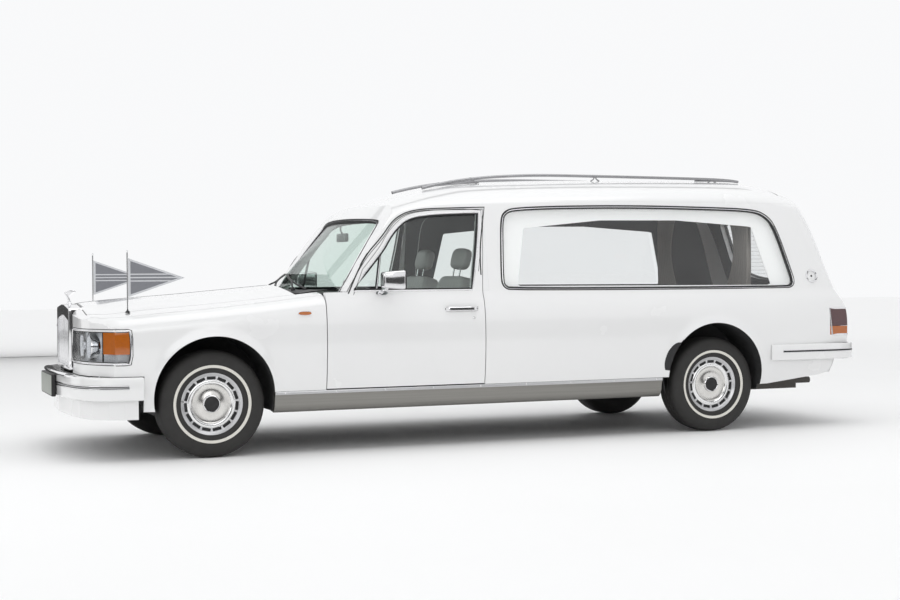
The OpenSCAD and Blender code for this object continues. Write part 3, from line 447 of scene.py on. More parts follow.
blackTrim = simple("blackTrim", (0.012, 0.012, 0.013), 0.4, 0.6, 0.0, 0.3, 20.0, (500.0, 0.2, 0.0003))
plateGrey = simple("plateGrey", (0.33, 0.35, 0.32), 0.4, 0.5, 0.0, 0.06, 14.0)
underSeal = simple("underSeal", (0.03, 0.03, 0.031), 0.7, 0.9, 0.0, 0.4, 10.0, (120.0, 0.6, 0.003))
castMetal = simple("castMetal", (0.2, 0.2, 0.2), 0.45, 0.65, 0.8, 0.25, 25.0, (250.0, 0.4, 0.001))
exhaustSteel = simple("exhaustSteel", (0.09, 0.085, 0.08), 0.3, 0.55, 1.0, 0.3, 9.0)
dashPlastic = simple("dashPlastic", (0.022, 0.023, 0.025), 0.5, 0.65, 0.0, 0.2, 9.0, (900.0, 0.5, 0.0005))
# the window lining's white has a faint emission: a painted glow that lifts it out of the shade of its recess
# behind the glass
whiteLining = simple("whiteLining", (0.9, 0.9, 0.895), 0.55, 0.7, 0.0, 0.03, 5.0, (700.0, 0.25, 0.0004),
                     Emission_Color=(1, 1, 0.99, 1), Emission_Strength=0.22)
lampSilver = simple("lampSilver", (0.8, 0.8, 0.81), 0.3, 0.4, 0.3, 0.04, 12.0)
greyLining = simple("greyLining", (0.42, 0.42, 0.42), 0.7, 0.85, 0.0, 0.06, 7.0, (800.0, 0.4, 0.0006))
redLens = simple("redLens", (0.06, 0.008, 0.011), 0.12, 0.2, 0.0, 0.2, 50.0, None, Coat_Weight=1.0)
amberLens = simple("amberLens", (0.42, 0.105, 0.005), 0.12, 0.2, 0.0, 0.15, 50.0, None, Coat_Weight=1.0)

leatherFinish = Finish("greyLeather", (0.42, 0.42, 0.41), 0.42)
leatherFinish.blotch((0.4, 0.4, 0.39), (0.47, 0.47, 0.46), 7.0)
leatherFinish.worn(0.36, 0.5, 14.0)
grain = leatherFinish.node("TexVoronoi", {}, {"Vector": leatherFinish.place(), "Scale": 420.0})
leatherFinish.bump(grain, 0.35, 0.0006)
greyLeather = leatherFinish.made

woodFinish = Finish("deckWood", (0.3, 0.16, 0.08), 0.3, 0.0, Coat_Weight=0.6, Coat_Roughness=0.1)
rings = woodFinish.node("TexWave", {"bands_direction": "Y"},
                        {"Vector": woodFinish.place((0.35, 7, 7)), "Scale": 1.6,
                        "Distortion": 6.0, "Detail": 4.0})
woodFinish.set("Base Color", woodFinish.mix(rings, (0.16, 0.075, 0.035), (0.36, 0.19, 0.1)))
woodFinish.worn(0.25, 0.4, 12.0, (0.3, 4, 4))
deckWood = woodFinish.made

sillFinish = Finish("sillMetal", (0.3, 0.29, 0.27), 0.32, 0.85)
sillFinish.blotch((0.24, 0.235, 0.22), (0.34, 0.33, 0.31), 18.0, 4.0, (0.05, 1, 6))
sillFinish.worn(0.28, 0.42, 30.0, (0.05, 1, 6))
sillMetal = sillFinish.made

brushedFinish = Finish("brushedDish", (0.74, 0.72, 0.69), 0.14, 1.0)
brushedFinish.blotch((0.66, 0.645, 0.62), (0.76, 0.75, 0.73), 60.0)
brushedFinish.worn(0.12, 0.22, 50.0)
brushedDish = brushedFinish.made


def clothFinish(name, a, b, threads):
    m = Finish(name, a, 0.85, 0.0, Sheen_Weight=0.3)
    m.blotch(a, b, 30.0)
    weave = m.node("TexWave", {"bands_direction": "Z"}, {"Vector": m.place(), "Scale": threads})
    warp = m.node("TexWave", {"bands_direction": "X"}, {"Vector": m.place(), "Scale": threads})
    m.bump(weave + warp, 0.4, 0.0005)
    return m


curtainCloth = clothFinish("curtainCloth", (0.3, 0.275, 0.25), (0.36, 0.335, 0.31), 300.0).made


def glassFinish(name, tint, gloss=1.0):
    m = Finish(name, (1, 1, 1), 0.02, 1.0)
    clear = m.node("BsdfTransparent", {}, {"Color": (*tint, 1)})
    edge = m.node("LayerWeight", {}, {"Blend": 0.5}, out=1)
    film = m.noise(3.0) * 0.02 + edge * edge * edge * edge * (0.45 * gloss) + 0.03
    m.tree.links.new(m.node("MixShader", {}, {0: film, 1: clear, 2: Wire(m, m.shader.outputs[0])}).socket,
                     m.tree.nodes["Material Output"].inputs["Surface"])
    return m


screenGlass = glassFinish("screenGlass", (0.9, 0.955, 0.93)).made
sideGlass = glassFinish("sideGlass", (0.93, 0.955, 0.945)).made
loadGlass = glassFinish("loadGlass", (0.965, 0.97, 0.97)).made
lensFinish = glassFinish("clearLens", (0.93, 0.94, 0.95), 1.2)
ribs = lensFinish.node("TexWave", {"bands_direction": "Y"}, {"Vector": lensFinish.place(), "Scale": 14.0})
lensFinish.bump(ribs, 0.5, 0.002)
clearLens = lensFinish.made
mirrorGlass = simple("mirrorGlass", (0.7, 0.72, 0.74), 0.02, 0.04, 1.0, 0.02, 9.0)
print("materials made")

# Body shell: fine lofts through the car's sections
runFine = {"low": 30, "high": 24, "roof": 34, "step": 0.028}
runCoarse = {"low": 10, "high": 5, "roof": 8, "step": 0.11}


def sunkRing(x, half, depth, drop):
    back = np.roll(half, 1, 0)
    back[0] = half[0]
    ahead = np.roll(half, -1, 0)
    ahead[-1] = half[-1]
    d = ahead - back
    d /= np.linalg.norm(d, axis=1)[:, None]
    normal = np.stack([d[:, 1], -d[:, 0]], 1)
    normal[-1] = (0, 1)
    p = half - depth[:, None] * normal
    base = [(x, p[0, 0], p[0, 1] - drop)]
    left = [(x, a, b) for a, b in p]
    right = [(x, -a, b) for a, b in p[-2::-1]]
    return base + left + right + [(x, -p[0, 0], p[0, 1] - drop)]


def cabinRun(low, high, top, fine=runFine, lips=False):
    count = int((fx(-625) - rx(-1330)) / fine["step"])
    rings = []
    for x in np.linspace(rx(-1330), fx(-625), count):
        ze, zm = curve(x, roofEdge), curve(x, roofMid)
        ye = sideY(x, ze)
        rise = zm - ze
        zs = np.concatenate([np.linspace(sillZ - 0.08, waistZ, fine["low"], endpoint=False),
                             np.linspace(waistZ, ze, fine["high"], endpoint=False)])
        side = np.stack([(skinY if lips else sideY)(x, zs), zs], 1)
        roof = bezier((ye, ze), (ye - 0.12 * rise, ze + 0.55 * rise), (0.5 * ye, zm), (0, zm),
                      np.linspace(0, 1, fine["roof"] + 1))
        half = np.concatenate([side, roof])
        depth = np.where(half[:, 1] < waistZ - 0.001, low, np.where(half[:, 1] < ze - 0.001, high, top))
        rings.append(sunkRing(x, half, depth, 0.2 if low > 0 else 0.02))
    return loft("run", rings)


def frontRun(depth, step=0.02, lips=True):
    rings = []
    for x in np.linspace(fx(-760), fx(792), int(1.552 / step)):
        zc, zm = curve(x, wingCrown), curve(x, bonnetMid)
        z1 = zc - 0.09
        y1 = sideY(x, z1)
        y2 = y1 - 0.12
        zs = np.linspace(sillZ - 0.08, z1, 26, endpoint=False)
        side = np.stack([(skinY if lips else sideY)(x, zs), zs], 1)
        crown = bezier((y1, z1), (y1 - 0.006, zc - 0.04), (y1 - 0.04, zc - 0.004), (y2, zc + 0.012),
                       np.linspace(0, 1, 14, endpoint=False))
        top = bezier((y2, zc + 0.012), (y2 * 0.75, zc + 0.032), (y2 * 0.4, zm), (0, zm),
                     np.linspace(0, 1, 26))
        half = np.concatenate([side, crown, top])
        noseX = np.interp(half[:, 0], [0.3, 0.64, 0.885, 0.983], [fx(772), fx(752), fx(600), fx(565)])
        near = np.clip(1 - (noseX - x) / 0.07, 0, 1)  # the crown rolls down to the lamps
        half[:, 1] -= np.where(half[:, 1] > 0.83, 0.038 * (1 - np.sqrt(1 - near**2)), 0)
        rings.append(sunkRing(x, half, np.full(len(half), depth), 0.2 if depth > 0 else 0.02))
    return loft("frontRun", rings)


def frontEnd(y, z):  # below the waist the cabin's corners come forward to the doors' front edges
    return max(screenX(y, z), fx(-640)) if abs(y) > 0.81 and z <= waistZ else screenX(y, z)


def cabinEnds(depth, levels=84):
    wide = halfW + 0.06
    rings = []
    heights = [z for z in np.linspace(0.26, 1.9, levels) if abs(z - waistZ) > 0.004]
    heights = sorted(heights + [waistZ, waistZ + 0.003])
    for z in heights:
        ys = np.linspace(-wide, wide, 41)
        ring = [(frontEnd(y, z) - depth * 1.35, y, z) for y in ys]
        ring.append((tailX(1, z) + depth, wide, z))
        for a in np.linspace(90, -90, 49):
            r = math.sin(math.radians(a))
            ring.append((tailX(r, z) + depth, r * tailHalf(z), z))
        ring.append((tailX(1, z) + depth, -wide, z))
        rings.append(ring)
    return loft("ends", rings)


def cabinSolid(name, low, high, top, ends, fine=runFine, lips=False):
    body = cabinRun(low, high, top, fine, lips)
    body.name = name
    return boolean(body, cabinEnds(ends, 84 if fine is runFine else 30), "INTERSECT")


def block(low, high):
    return box("block", low, high)


def doorOutline(grow):
    g = car["gap"]
    rows = [(-g / 2 + grow, sillZ + g - grow), (-g / 2 + grow, waistZ), (-0.150 + grow, waistZ + 0.002),
            (-0.288 + grow, 1.247), (-0.424 + grow * 0.8, 1.383 + grow * 0.5),
            (-0.495 + grow * 0.6, 1.485 + grow * 0.7), (-0.579 + grow * 0.4, 1.539 + grow),
            (-0.662, 1.561 + grow), (-0.771, 1.572 + grow), (-1.4, 1.586 + grow), (-1.4, sillZ + g - grow)]
    return soften([(doorFront + x, z) for x, z in rows], (0, 1, 2, 9, 10), 3)


hinge = {"x": doorFront - 0.032, "y": halfW - 0.008}
doorReach = hinge["x"] - doorRear - car["gap"] / 2


def doorSwing(grow):
    rows = [(0.0005, 0.1), (doorReach + grow, 0.1), (doorReach + grow, waistZ),
            (doorReach + 0.052 + grow, 1.607), (doorReach + 0.052 + grow, 1.947), (0.0005, 1.947)]
    rings = [[(hinge["x"] + r * math.cos(a), hinge["y"] + r * math.sin(a), z) for r, z in rows]
             for a in np.linspace(0, math.tau, 180, endpoint=False)]
    return loft("swing", rings, True)


def doorRegion(grow):
    region = prism("region", doorOutline(grow), 0.3, halfW + 0.1)
    boolean(region, doorSwing(grow), "INTERSECT")
    return boolean(region, cabinRun(car["wall"] + grow, car["frame"] + grow, car["roof"] + grow, runCoarse))


def doorWindow():
    rows = [(doorFront - 0.196, 1.048), (doorFront - 0.42, 1.3), (doorFront - 0.47, 1.385),
            (doorFront - 0.54, 1.462), (doorFront - 0.61, 1.51), (doorFront - 0.72, 1.531),
            (doorFront - 0.88, 1.543), (doorRear - 0.002, 1.551), (doorRear + 0.026, 1.333),
            (doorRear + 0.078, 1.048)]
    return soften(rows, (0, 7, 9), 3)


def longWindow(grow=0.0):
    rows = [(quarterX - 0.008, 1.06), (quarterX, 1.11), (quarterX - 0.014, 1.34), (quarterX - 0.028, 1.52),
            (quarterX - 0.062, 1.566), (quarterX - 0.13, 1.586), (quarterX - 0.48, 1.603),
            ((quarterX + rx(-500)) / 2, 1.613), (rx(-60), 1.606), (rx(-390), 1.596), (rx(-496), 1.562),
            (rx(-572), 1.48), (rx(-675), 1.143), (rx(-690), 1.075), (rx(-672), 1.043), (rx(-620), 1.031),
            (quarterX - 0.06, 1.036)]
    rows = soften(rows, (), 2)
    if grow:
        p = np.array(rows)
        d = np.roll(p, -1, 0) - np.roll(p, 1, 0)
        d /= np.linalg.norm(d, axis=1)[:, None]
        rows = [tuple(q) for q in p + grow * np.stack([d[:, 1], -d[:, 0]], 1)]
    return rows


def archCut(arch, y0=0.3, y1=None):
    angles = np.linspace(0, math.tau, 120, endpoint=False)
    ring = [(arch["x"] + arch["r"] * math.cos(a), arch["z"] + arch["r"] * math.sin(a)) for a in angles]
    return prism("arch", ring, y0, y1 or halfW + 0.1)


gate = {"y": 0.64, "low": 0.65, "front": rx(-715), "topGap": 0.014}
tailLamp = {"low": 0.676, "high": 0.872}


def gateRegion(grow):
    return block((rx(-1500), -gate["y"] - grow, gate["low"] - grow),
                 (gate["front"] + grow, gate["y"] + grow, 2.05))


def tailLampRegion(grow):
    return block((rx(-1400), gate["y"] + 0.04 - grow, tailLamp["low"] - grow),
                 (rx(-982) + grow, 1.2, tailLamp["high"] + grow))


screenOutline = [(-0.775, 1.005), (0.775, 1.005), (0.775, 1.05), (0.640, 1.479), (0.6, 1.502), (0.3, 1.515),
                 (0, 1.519),
                 (-0.3, 1.515), (-0.6, 1.502), (-0.640, 1.479), (-0.775, 1.05)]
gateOutline = [(-0.52, 1.08), (0.52, 1.08), (0.52, 1.48), (0.47, 1.57), (-0.47, 1.57), (-0.52, 1.48)]
gateSoft = soften(gateOutline, (), 3)

outer = cabinSolid("outer", 0, 0, 0, 0, lips=True)
inner = cabinSolid("inner", car["wall"], car["frame"], car["roof"], car["gate"])
shell = boolean(copyOf(outer, "shell"), inner)
doorHole = doorRegion(car["gap"])
print("shell lofted")


def bodySide():
    kept = block((rx(-1400), 0.3, 0.33), (doorRear - 0.046, 1.2, roofZ - 0.197))
    boolean(kept, block((doorRear - 0.1, 0.3, 0.33), (doorRear + 0.06, 1.2, waistZ + 0.0037)), "UNION")
    side = boolean(copyOf(shell, "bodySideLeft"), kept, "INTERSECT")
    boolean(side, doorHole, keep=True)
    boolean(side, doorSwing(car["gap"]))
    boolean(side, prism("hole", longWindow(), 0.3, 1.1))
    boolean(side, archCut(rearArch))
    boolean(side, block((rx(0), 0.3, 0.2), (fx(0), 1.1, sillZ)))
    boolean(side, gateRegion(car["gap"]))
    boolean(side, block((rx(-1500), 0, 0.3), (rx(-800), gate["y"] + car["gap"], 0.66)))
    boolean(side, tailLampRegion(0.0003))
    low = [(rx(-340), 0.2), (rx(-340), 0.318), (rx(-900), 0.384), (rx(-965), 0.398), (rx(-1010), 0.44),
           (rx(-1022), 0.52),
           (rx(-1500), 0.52), (rx(-1500), 0.2)]
    return boolean(side, prism("apron", soften(low, (0, 1, 2, 5, 6, 7), 2), 0.3, 1.1))


def roofPanel():
    roof = boolean(copyOf(shell, "roofPanel"), joinedRoofBox(), "INTERSECT")
    for sign in (1, -1):
        hole = copyOf(doorHole, "hole")
        quarter = block((rx(-1400), 0.3, 0), (doorRear - 0.0457, 1.2, roofZ - 0.1967))
        if sign < 0:
            flip(hole)
            flip(quarter)
        boolean(roof, hole)
        boolean(roof, quarter)
    boolean(roof, gateRegion(car["gap"]))
    boolean(roof,
            block((gate["front"], -gate["y"] - 0.006, 1.5),
                  (gate["front"] + gate["topGap"], gate["y"] + 0.006, 2.0)))
    return boolean(roof, prism("screen", soften(screenOutline, (0, 1), 2), fx(-1400), fx(-400), "X"))


def joinedRoofBox():
    a = block((rx(-1400), -1.2, roofZ - 0.197), (fx(-600), 1.2, roofZ + 0.1))
    b = block((doorRear - 0.046, -1.2, waistZ + 0.004), (fx(-600), 1.2, roofZ))
    return boolean(a, b, "UNION")


def tailgatePanel():
    panel = boolean(copyOf(shell, "tailgatePanel"), gateRegion(0), "INTERSECT")
    return boolean(panel, prism("window", gateSoft, rx(-1500), rx(-600), "X"))


def rearPanel():
    y = gate["y"] + 0.0057
    return boolean(copyOf(shell, "rearPanel"),
                   block((rx(-1400), -y, 0.38), (rx(-900), y, gate["low"] - 0.006)), "INTERSECT")


def doorPanel():
    door = boolean(copyOf(outer, "doorLeft"), doorRegion(0), "INTERSECT")
    boolean(door, prism("hole", doorWindow(), 0.3, 1.1))
    return door


side = bodySide()
done(mirrorOf(side, "bodySideRight"), whitePaint, "body", "body_side_right")
done(side, whitePaint, "body", "body_side_left")
done(roofPanel(), whitePaint, "body", "roof_panel")
done(tailgatePanel(), whitePaint, "tailgate", "tailgate")
done(rearPanel(), whitePaint, "body", "rear_panel")
door = doorPanel()
done(mirrorOf(door, "doorRight"), whitePaint, "door_right", "door_right")
done(door, whitePaint, "door_left", "door_left")
print("cabin panels cut")

noseOutline = [(fx(-900), -0.983), (fx(565), -0.983), (fx(600), -0.885), (fx(752), -0.64), (fx(772), -0.3),
               (fx(772), 0.3), (fx(752), 0.64), (fx(600), 0.885), (fx(565), 0.983), (fx(-900), 0.983)]
noseSoft = soften(noseOutline, (0, 1, 8, 9), 2)
bumperX = fx(872)


def frontSolid(depth, lips=True):
    shape = frontRun(depth, lips=lips)
    nose = [(x - (depth if x > fx(0) else 0), y) for x, y in noseSoft]
    return boolean(shape, prism("nose", nose, 0.06, 1.26, "Z"), "INTERSECT")


def bonnetRegion(grow):
    half = [(fx(-585) - grow, 0.7 + grow), (fx(600), 0.66 + grow), (fx(715) + grow, 0.56 + grow),
            (fx(715) + grow, 0.29 - grow), (fx(696) + grow, 0.288 - grow)]
    ring = half + [(x, -y) for x, y in half[::-1]]
    return prism("bonnetRegion", ring, 0.85, 1.25, "Z")


def lampOpening(grow, low=0.605, high=0.809):
    ring = [(fx(640), 0.3), (fx(900), 0.3), (fx(900), 1.0), (fx(500) - grow, 1.0), (fx(500) - grow, 0.85),
            (fx(640) - grow, 0.7)]
    return prism("lampOpening", ring, low - grow, high + grow, "Z")


frontShell = boolean(frontSolid(0), frontSolid(car["skin"], lips=False))


def wing():
    made = copyOf(frontShell, "wingLeft")
    keepBox = block((doorFront + 0.003, 0.3, sillZ), (fx(0), 1.1, 1.3))
    boolean(keepBox, block((fx(-10), 0.3, 0.262), (bumperX - 0.447, 1.1, 1.3)), "UNION")
    boolean(keepBox, block((fx(300), 0.3, 0.527), (fx(900), 1.1, 1.3)), "UNION")
    boolean(made, keepBox, "INTERSECT")
    boolean(made, archCut(frontArch))
    boolean(made, lampOpening(0.0003))
    boolean(made, bonnetRegion(car["gap"]))
    return boolean(made, block((fx(-760), -0.1, 0.85), (fx(-560), 0.706, 1.25)))


wingLeft = wing()
done(mirrorOf(wingLeft, "wingRight"), whitePaint, "body", "wing_right")
done(wingLeft, whitePaint, "body", "wing_left")
bonnetPanel = boolean(copyOf(frontShell, "bonnetPanel"), bonnetRegion(0), "INTERSECT")
done(bonnetPanel, whitePaint, "bonnet", "bonnet")
print("front panels cut")


# Patches and beads that lie on the curved skins
def onSide(depth, sign=1):
    return lambda x, z, d=0.0: (x, sign * (float(sideY(x, z)) - depth - d), z)


def onScreen(depth):
    return lambda y, z, d=0.0: (float(screenX(y, z)) - depth - d, y, z)


def onTail(depth):
    return lambda y, z, d=0.0: (float(tailX(y / tailHalf(z), z)) + depth + d, y, z)


def radial(outline, centre, n=160):
    p, c = np.array(outline), np.array(centre)
    q = np.roll(p, -1, 0)
    rows = []
    for a in np.linspace(0, math.tau, n, endpoint=False):
        d = np.array((math.cos(a), math.sin(a)))
        best = 0
        for u, v in zip(p - c, q - c):
            e = v - u
            cross = d[0] * e[1] - d[1] * e[0]
            if abs(cross) > 1e-12:
                t = (u[0] * e[1] - u[1] * e[0]) / cross
                s = (u[0] * d[1] - u[1] * d[0]) / cross
                if t > 0 and -1e-9 <= s <= 1 + 1e-9:
                    best = max(best, t)
        rows.append(tuple(c + d * best))
    return rows


def patch(name, outline, spot, thick, rings=9, hole=None):
    p = np.array(outline)
    c = p.mean(0)
    inner = np.array(hole) if hole is not None else c + (p - c) * 0.002
    n, verts, faces = len(p), [], []
    for d in (0.0, thick):
        for k in range(rings + 1):
            verts += [spot(a, b, d) for a, b in inner + (p - inner) * (k / rings)]
    per = n * (rings + 1)
    for layer in (0, per):
        for k in range(rings):
            faces += [(layer + k * n + j, layer + k * n + (j + 1) % n, layer + (k + 1) * n + (j + 1) % n,
                       layer + (k + 1) * n + j) for j in range(n)]
        if hole is None:
            faces.append(tuple(range(layer, layer + n)))
    for k in [rings] + ([0] if hole is not None else []):
        faces += [(k * n + j, k * n + (j + 1) % n, per + k * n + (j + 1) % n,
                   per + k * n + j) for j in range(n)]
    return solid(name, verts, faces)


def grown(outline, amount):
    p = np.array(outline)
    d = np.roll(p, -1, 0) - np.roll(p, 1, 0)
    d /= np.linalg.norm(d, axis=1)[:, None]
    normal = np.stack([d[:, 1], -d[:, 0]], 1)
    area = np.sum(p[:, 0] * np.roll(p[:, 1], -1) - np.roll(p[:, 0], -1) * p[:, 1])
    return [tuple(q) for q in p + amount * normal * (1 if area > 0 else -1)]


def humped(width, low, high, n=6):
    return ([(-width / 2, low)] + [(-width / 2 * math.cos(a),
                                    max(low, 0) + (high - max(low, 0)) * math.sin(a))
            for a in np.linspace(0, math.pi, n + 1)] + [(width / 2, low)])


def bead(name, outline, spot, profile, closed=True):
    points = [Vector(spot(a, b)) for a, b in outline]
    outs = [Vector(spot(a, b, -0.01)) - p for (a, b), p in zip(outline, points)]
    return strip(name, points, outs, profile, closed)


def twoTone(obj, material, test):
    obj.data.materials.append(material)
    index = len(obj.data.materials) - 1
    for face in obj.data.polygons:
        if test(face.center, face.normal):
            face.material_index = index


def pair(obj, material, left, right=None, nodes=(None, None),
         angle=30):  # the piece and its mirror image
    other = mirrorOf(obj, obj.name + "Right")
    obj.name += "Left"
    done(obj, material, left, nodes[0] or (), angle)
    done(other, material, right or left, nodes[1] or (), angle)
    return obj, other


# Inner faces of the panels carry trim, not paint
def underArch(c, n):
    return abs(n.y) < 0.6 and any(abs(math.hypot(c.x - a["x"],
                                                 c.z - a["z"]) - a["r"]) < 0.006 for a in (frontArch,
                                                                                           rearArch))


darkCloth = simple("darkCloth", (0.055, 0.057, 0.06), 0.85, 0.95, 0.0, 0.15, 9.0, (700.0, 0.6, 0.0008))
for name in ("wingLeft", "wingRight", "bodySideLeft", "bodySideRight", "roofPanel", "tailgatePanel",
             "doorLeft", "doorRight"):
    panel = bpy.data.objects[name]
    twoTone(panel, underSeal, underArch)
    sign = -1 if name.endswith("Right") else 1
    if name.startswith("bodySide"):
        twoTone(panel, darkCloth, lambda c, n: n.y * sign < -0.6)
    elif name == "roofPanel":
        twoTone(panel, greyLining, lambda c,
                n: n.z < -0.25 or (abs(c.y) < 0.62 and n.z < 0.1 and n.x < -0.5 and c.x > 0))
    elif name.startswith("wing"):
        twoTone(panel, underSeal, lambda c, n: n.y * sign < -0.6)
    elif name == "tailgatePanel":
        twoTone(panel, darkCloth, lambda c, n: n.x > 0.5)
    else:
        twoTone(panel, greyLeather, lambda c, n: n.y * sign < -0.6 and c.z < 1.02)
        twoTone(panel, blackTrim, lambda c, n: n.y * sign < -0.6 and c.z >= 1.02)

# Glass
loadEdge = longWindow()
loadCentre = ((quarterX + rx(-500)) / 2, 1.32)
doorEdge = doorWindow()
quarterLight = {"low": (doorFront - 0.353, 1.048), "high": (doorFront - 0.405, 1.333), "width": 0.014}
pair(patch("loadGlass", grown(loadEdge, -0.001), onSide(0.016), 0.005, 6), loadGlass, "body")
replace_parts(bpy.data.objects["loadGlassLeft"], "side_windows")
pair(patch("doorGlass", grown(doorEdge, -0.001), onSide(0.016), 0.005, 6), sideGlass, "door_left",
     "door_right",
     ("door_glass_left", "door_glass_right"))
screenEdge = grown(soften(screenOutline, (0, 1), 3), -0.004)
screenEdge = [(y, max(z, 1.03)) for y, z in screenEdge]
done(patch("windscreenGlass", screenEdge, onScreen(0.012), 0.006, 10), screenGlass, "body", "windscreen")
done(patch("tailgateGlass", gateSoft, onTail(0.018), 0.006, 8), loadGlass, "tailgate", "tailgate_glass")

# Window surrounds
rubber = humped(0.026, -0.018, 0.004)
bright = humped(0.008, 0.0, 0.0065)
pair(bead("loadRubber", loadEdge, onSide(0), rubber), blackRubber, "body")
pair(bead("loadBright", loadEdge, onSide(0), bright), chrome, "body")
liningOpening = [(quarterX - 0.203, 1.456), (quarterX - 0.796, 1.515), (quarterX - 1.411, 1.52),
                 (rx(-395), 1.478),
                 (rx(-519), 1.05), (quarterX - 0.131, 1.06)]
liningHole = radial(liningOpening, loadCentre, 480)
# the lining carries a painted glow (emission) that brightens it where it lies in shade behind the glass
pair(patch("windowLining", radial(grown(loadEdge, 0.012), loadCentre, 480), onSide(0.047), 0.006, 3,
           liningHole), whiteLining,
     "body")
for name in ("windowLiningLeft", "windowLiningRight"):
    sign = -1 if name.endswith("Right") else 1
    twoTone(bpy.data.objects[name], darkCloth, lambda c, n: n.y * sign < -0.5)
pair(bead("doorGlassRubber", grown(doorEdge, 0.001), onSide(0), humped(0.011, -0.014, 0.0015)), blackRubber,
     "door_left", "door_right")
pair(bead("doorGlassBright", grown(doorEdge, 0.012), onSide(0), humped(0.009, -0.003, 0.004)), chrome,
     "door_left", "door_right")
frameLine = [p for p in soften([(doorFront - 0.156, 1.02), (doorFront - 0.276, 1.257),
                                (doorFront - 0.412, 1.394),
                                (doorFront - 0.488, 1.497), (doorFront - 0.574, 1.551),
                                (doorFront - 0.66, 1.573),
                                (doorFront - 0.77, 1.584), (doorRear - 0.055, 1.597), (doorRear + 0.004, 1.3),
                                (doorRear + 0.004, 1.02)], (0, 7, 9), 3)]
pair(bead("doorFrameSeal", frameLine[:-1], onSide(0), humped(0.009, -0.01, 0.002), False), blackRubber,
     "body")
pair(bead("doorFrameLine", grown(doorEdge, 0.036)[0:-1], onSide(0), humped(0.003, -0.002, 0.0012), False),
     blackTrim,
     "door_left", "door_right")
(ax, az), (bx, bz) = quarterLight["low"], quarterLight["high"]
divider = [(ax + (bx - ax) * t, az + (bz - az) * t) for t in np.linspace(0, 1, 8)]
pair(bead("quarterDivider", divider, onSide(0.008), humped(quarterLight["width"], -0.016, 0.003), False),
     blackTrim,
     "door_left", "door_right")
pair(bead("quarterBright", divider, onSide(0.005), humped(0.005, -0.002, 0.003), False), chrome, "door_left",
     "door_right")
screenLine = soften(screenOutline, (0, 1), 3)
done(bead("screenRubber", screenLine, onScreen(0), humped(0.03, -0.02, 0.004)), blackRubber, "body")
done(bead("screenBright", [p for p in grown(screenLine, 0.004) if p[1] > 1.02], onScreen(0),
          humped(0.01, 0, 0.0075), False),
     chrome, "body")
done(bead("gateRubber", gateSoft, onTail(0), humped(0.026, -0.02, 0.004)), blackRubber, "tailgate")
done(bead("gateBright", gateSoft, onTail(0), humped(0.008, 0, 0.0065)), chrome, "tailgate")
heater = [strip("heater", [onTail(0.0176)(y, z) for y in np.linspace(-wide, wide, 24)], [(-1, 0, 0)] * 24,
                [(-0.0007, 0), (0, 0.0006), (0.0007, 0)], False)
          for z, wide in [(1.13 + 0.03 * i, 0.48 if i < 13 else 0.44) for i in range(15)]]
done(joined("heaterLines", *heater), darkCloth, "tailgate")
print("glass and surrounds made")

# Lamps
headlamp = {"low": 0.605, "high": 0.809, "inner": 0.31, "split": 0.795, "lens": 0.006}


def lampRegion(y0, y1):
    region = lampOpening(-0.0003, headlamp["low"], headlamp["high"])
    return boolean(region, block((fx(400), y0, 0.5), (fx(1000), y1, 0.9)), "INTERSECT")


frontOuter = frontSolid(0)
lensShell = boolean(copyOf(frontOuter, "lensShell"), frontSolid(headlamp["lens"], lips=False))
lens = boolean(copyOf(lensShell, "headlampLens"), lampRegion(headlamp["inner"], headlamp["split"]),
               "INTERSECT")
pair(lens, clearLens, "body")
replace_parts(bpy.data.objects["headlampLensLeft"], "headlamps")
turn = boolean(lensShell, lampRegion(headlamp["split"] + 0.002, 1.0), "INTERSECT")
turn.name = "turnLens"
below = boolean(copyOf(turn, "parkLens"), block((fx(400), 0.7, 0.5), (fx(1000), 1.1, 0.662)), "INTERSECT")
pair(below, clearLens, "body")
boolean(turn, block((fx(400), 0.7, 0.5), (fx(1000), 1.1, 0.664)))
pair(turn, amberLens, "body")
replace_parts(bpy.data.objects["turnLensLeft"], "indicators")
deep = frontSolid(0.05, lips=False)
housing = boolean(deep, lampRegion(headlamp["inner"] + 0.001, 0.98), "INTERSECT")
housing.name = "lampHousing"
pair(housing, lampSilver, "body")
bowlProfile = [(0.008, -0.045), (0.03, -0.04), (0.055, -0.028), (0.074, -0.008), (0.084, 0.012),
               (0.088, 0.012),
               (0.088, -0.05), (0.008, -0.052)]
for k, y in enumerate((0.42, 0.62)):
    pair(lathe("lampBowl" + "AB"[k], bowlProfile + [bowlProfile[0]], (fx(716 - 14 * k), y, 0.707), 1, 48,
               "X"), chrome, "body")


def nosePlan():
    p = [q for q in noseSoft if q[1] > 0.2 and q[0] > fx(540)]
    p.sort(key=lambda q: q[1])
    ys, xs = [q[1] for q in p], [q[0] for q in p]
    made = []
    for y in np.linspace(headlamp["inner"], 0.93, 60):
        x = float(np.interp(y, ys, xs))
        if y > float(sideY(x, 0.7)):
            break
        made.append((x, y))
    return made + [(x, float(sideY(x, 0.7))) for x in np.linspace(made[-1][0] - 0.008, fx(502), 8)]


plan = nosePlan()


def alongNose(s, z, d=0.0):
    i = min(max(s, 0), len(plan) - 1.0001)
    k = int(i)
    a, b = np.array(plan[k]), np.array(plan[k + 1])
    p = a + (b - a) * (i - k)
    t = np.array(plan[min(k + 2, len(plan) - 1)]) - np.array(plan[max(k - 1, 0)])
    t /= np.linalg.norm(t)
    lean = float(sideY(fx(500), z) - sideY(fx(500), 0.7)) * min(1, max(0, (k - len(plan) + 14) / 8))
    return (p[0] + t[1] * -d, p[1] - t[0] * -d + lean, z)


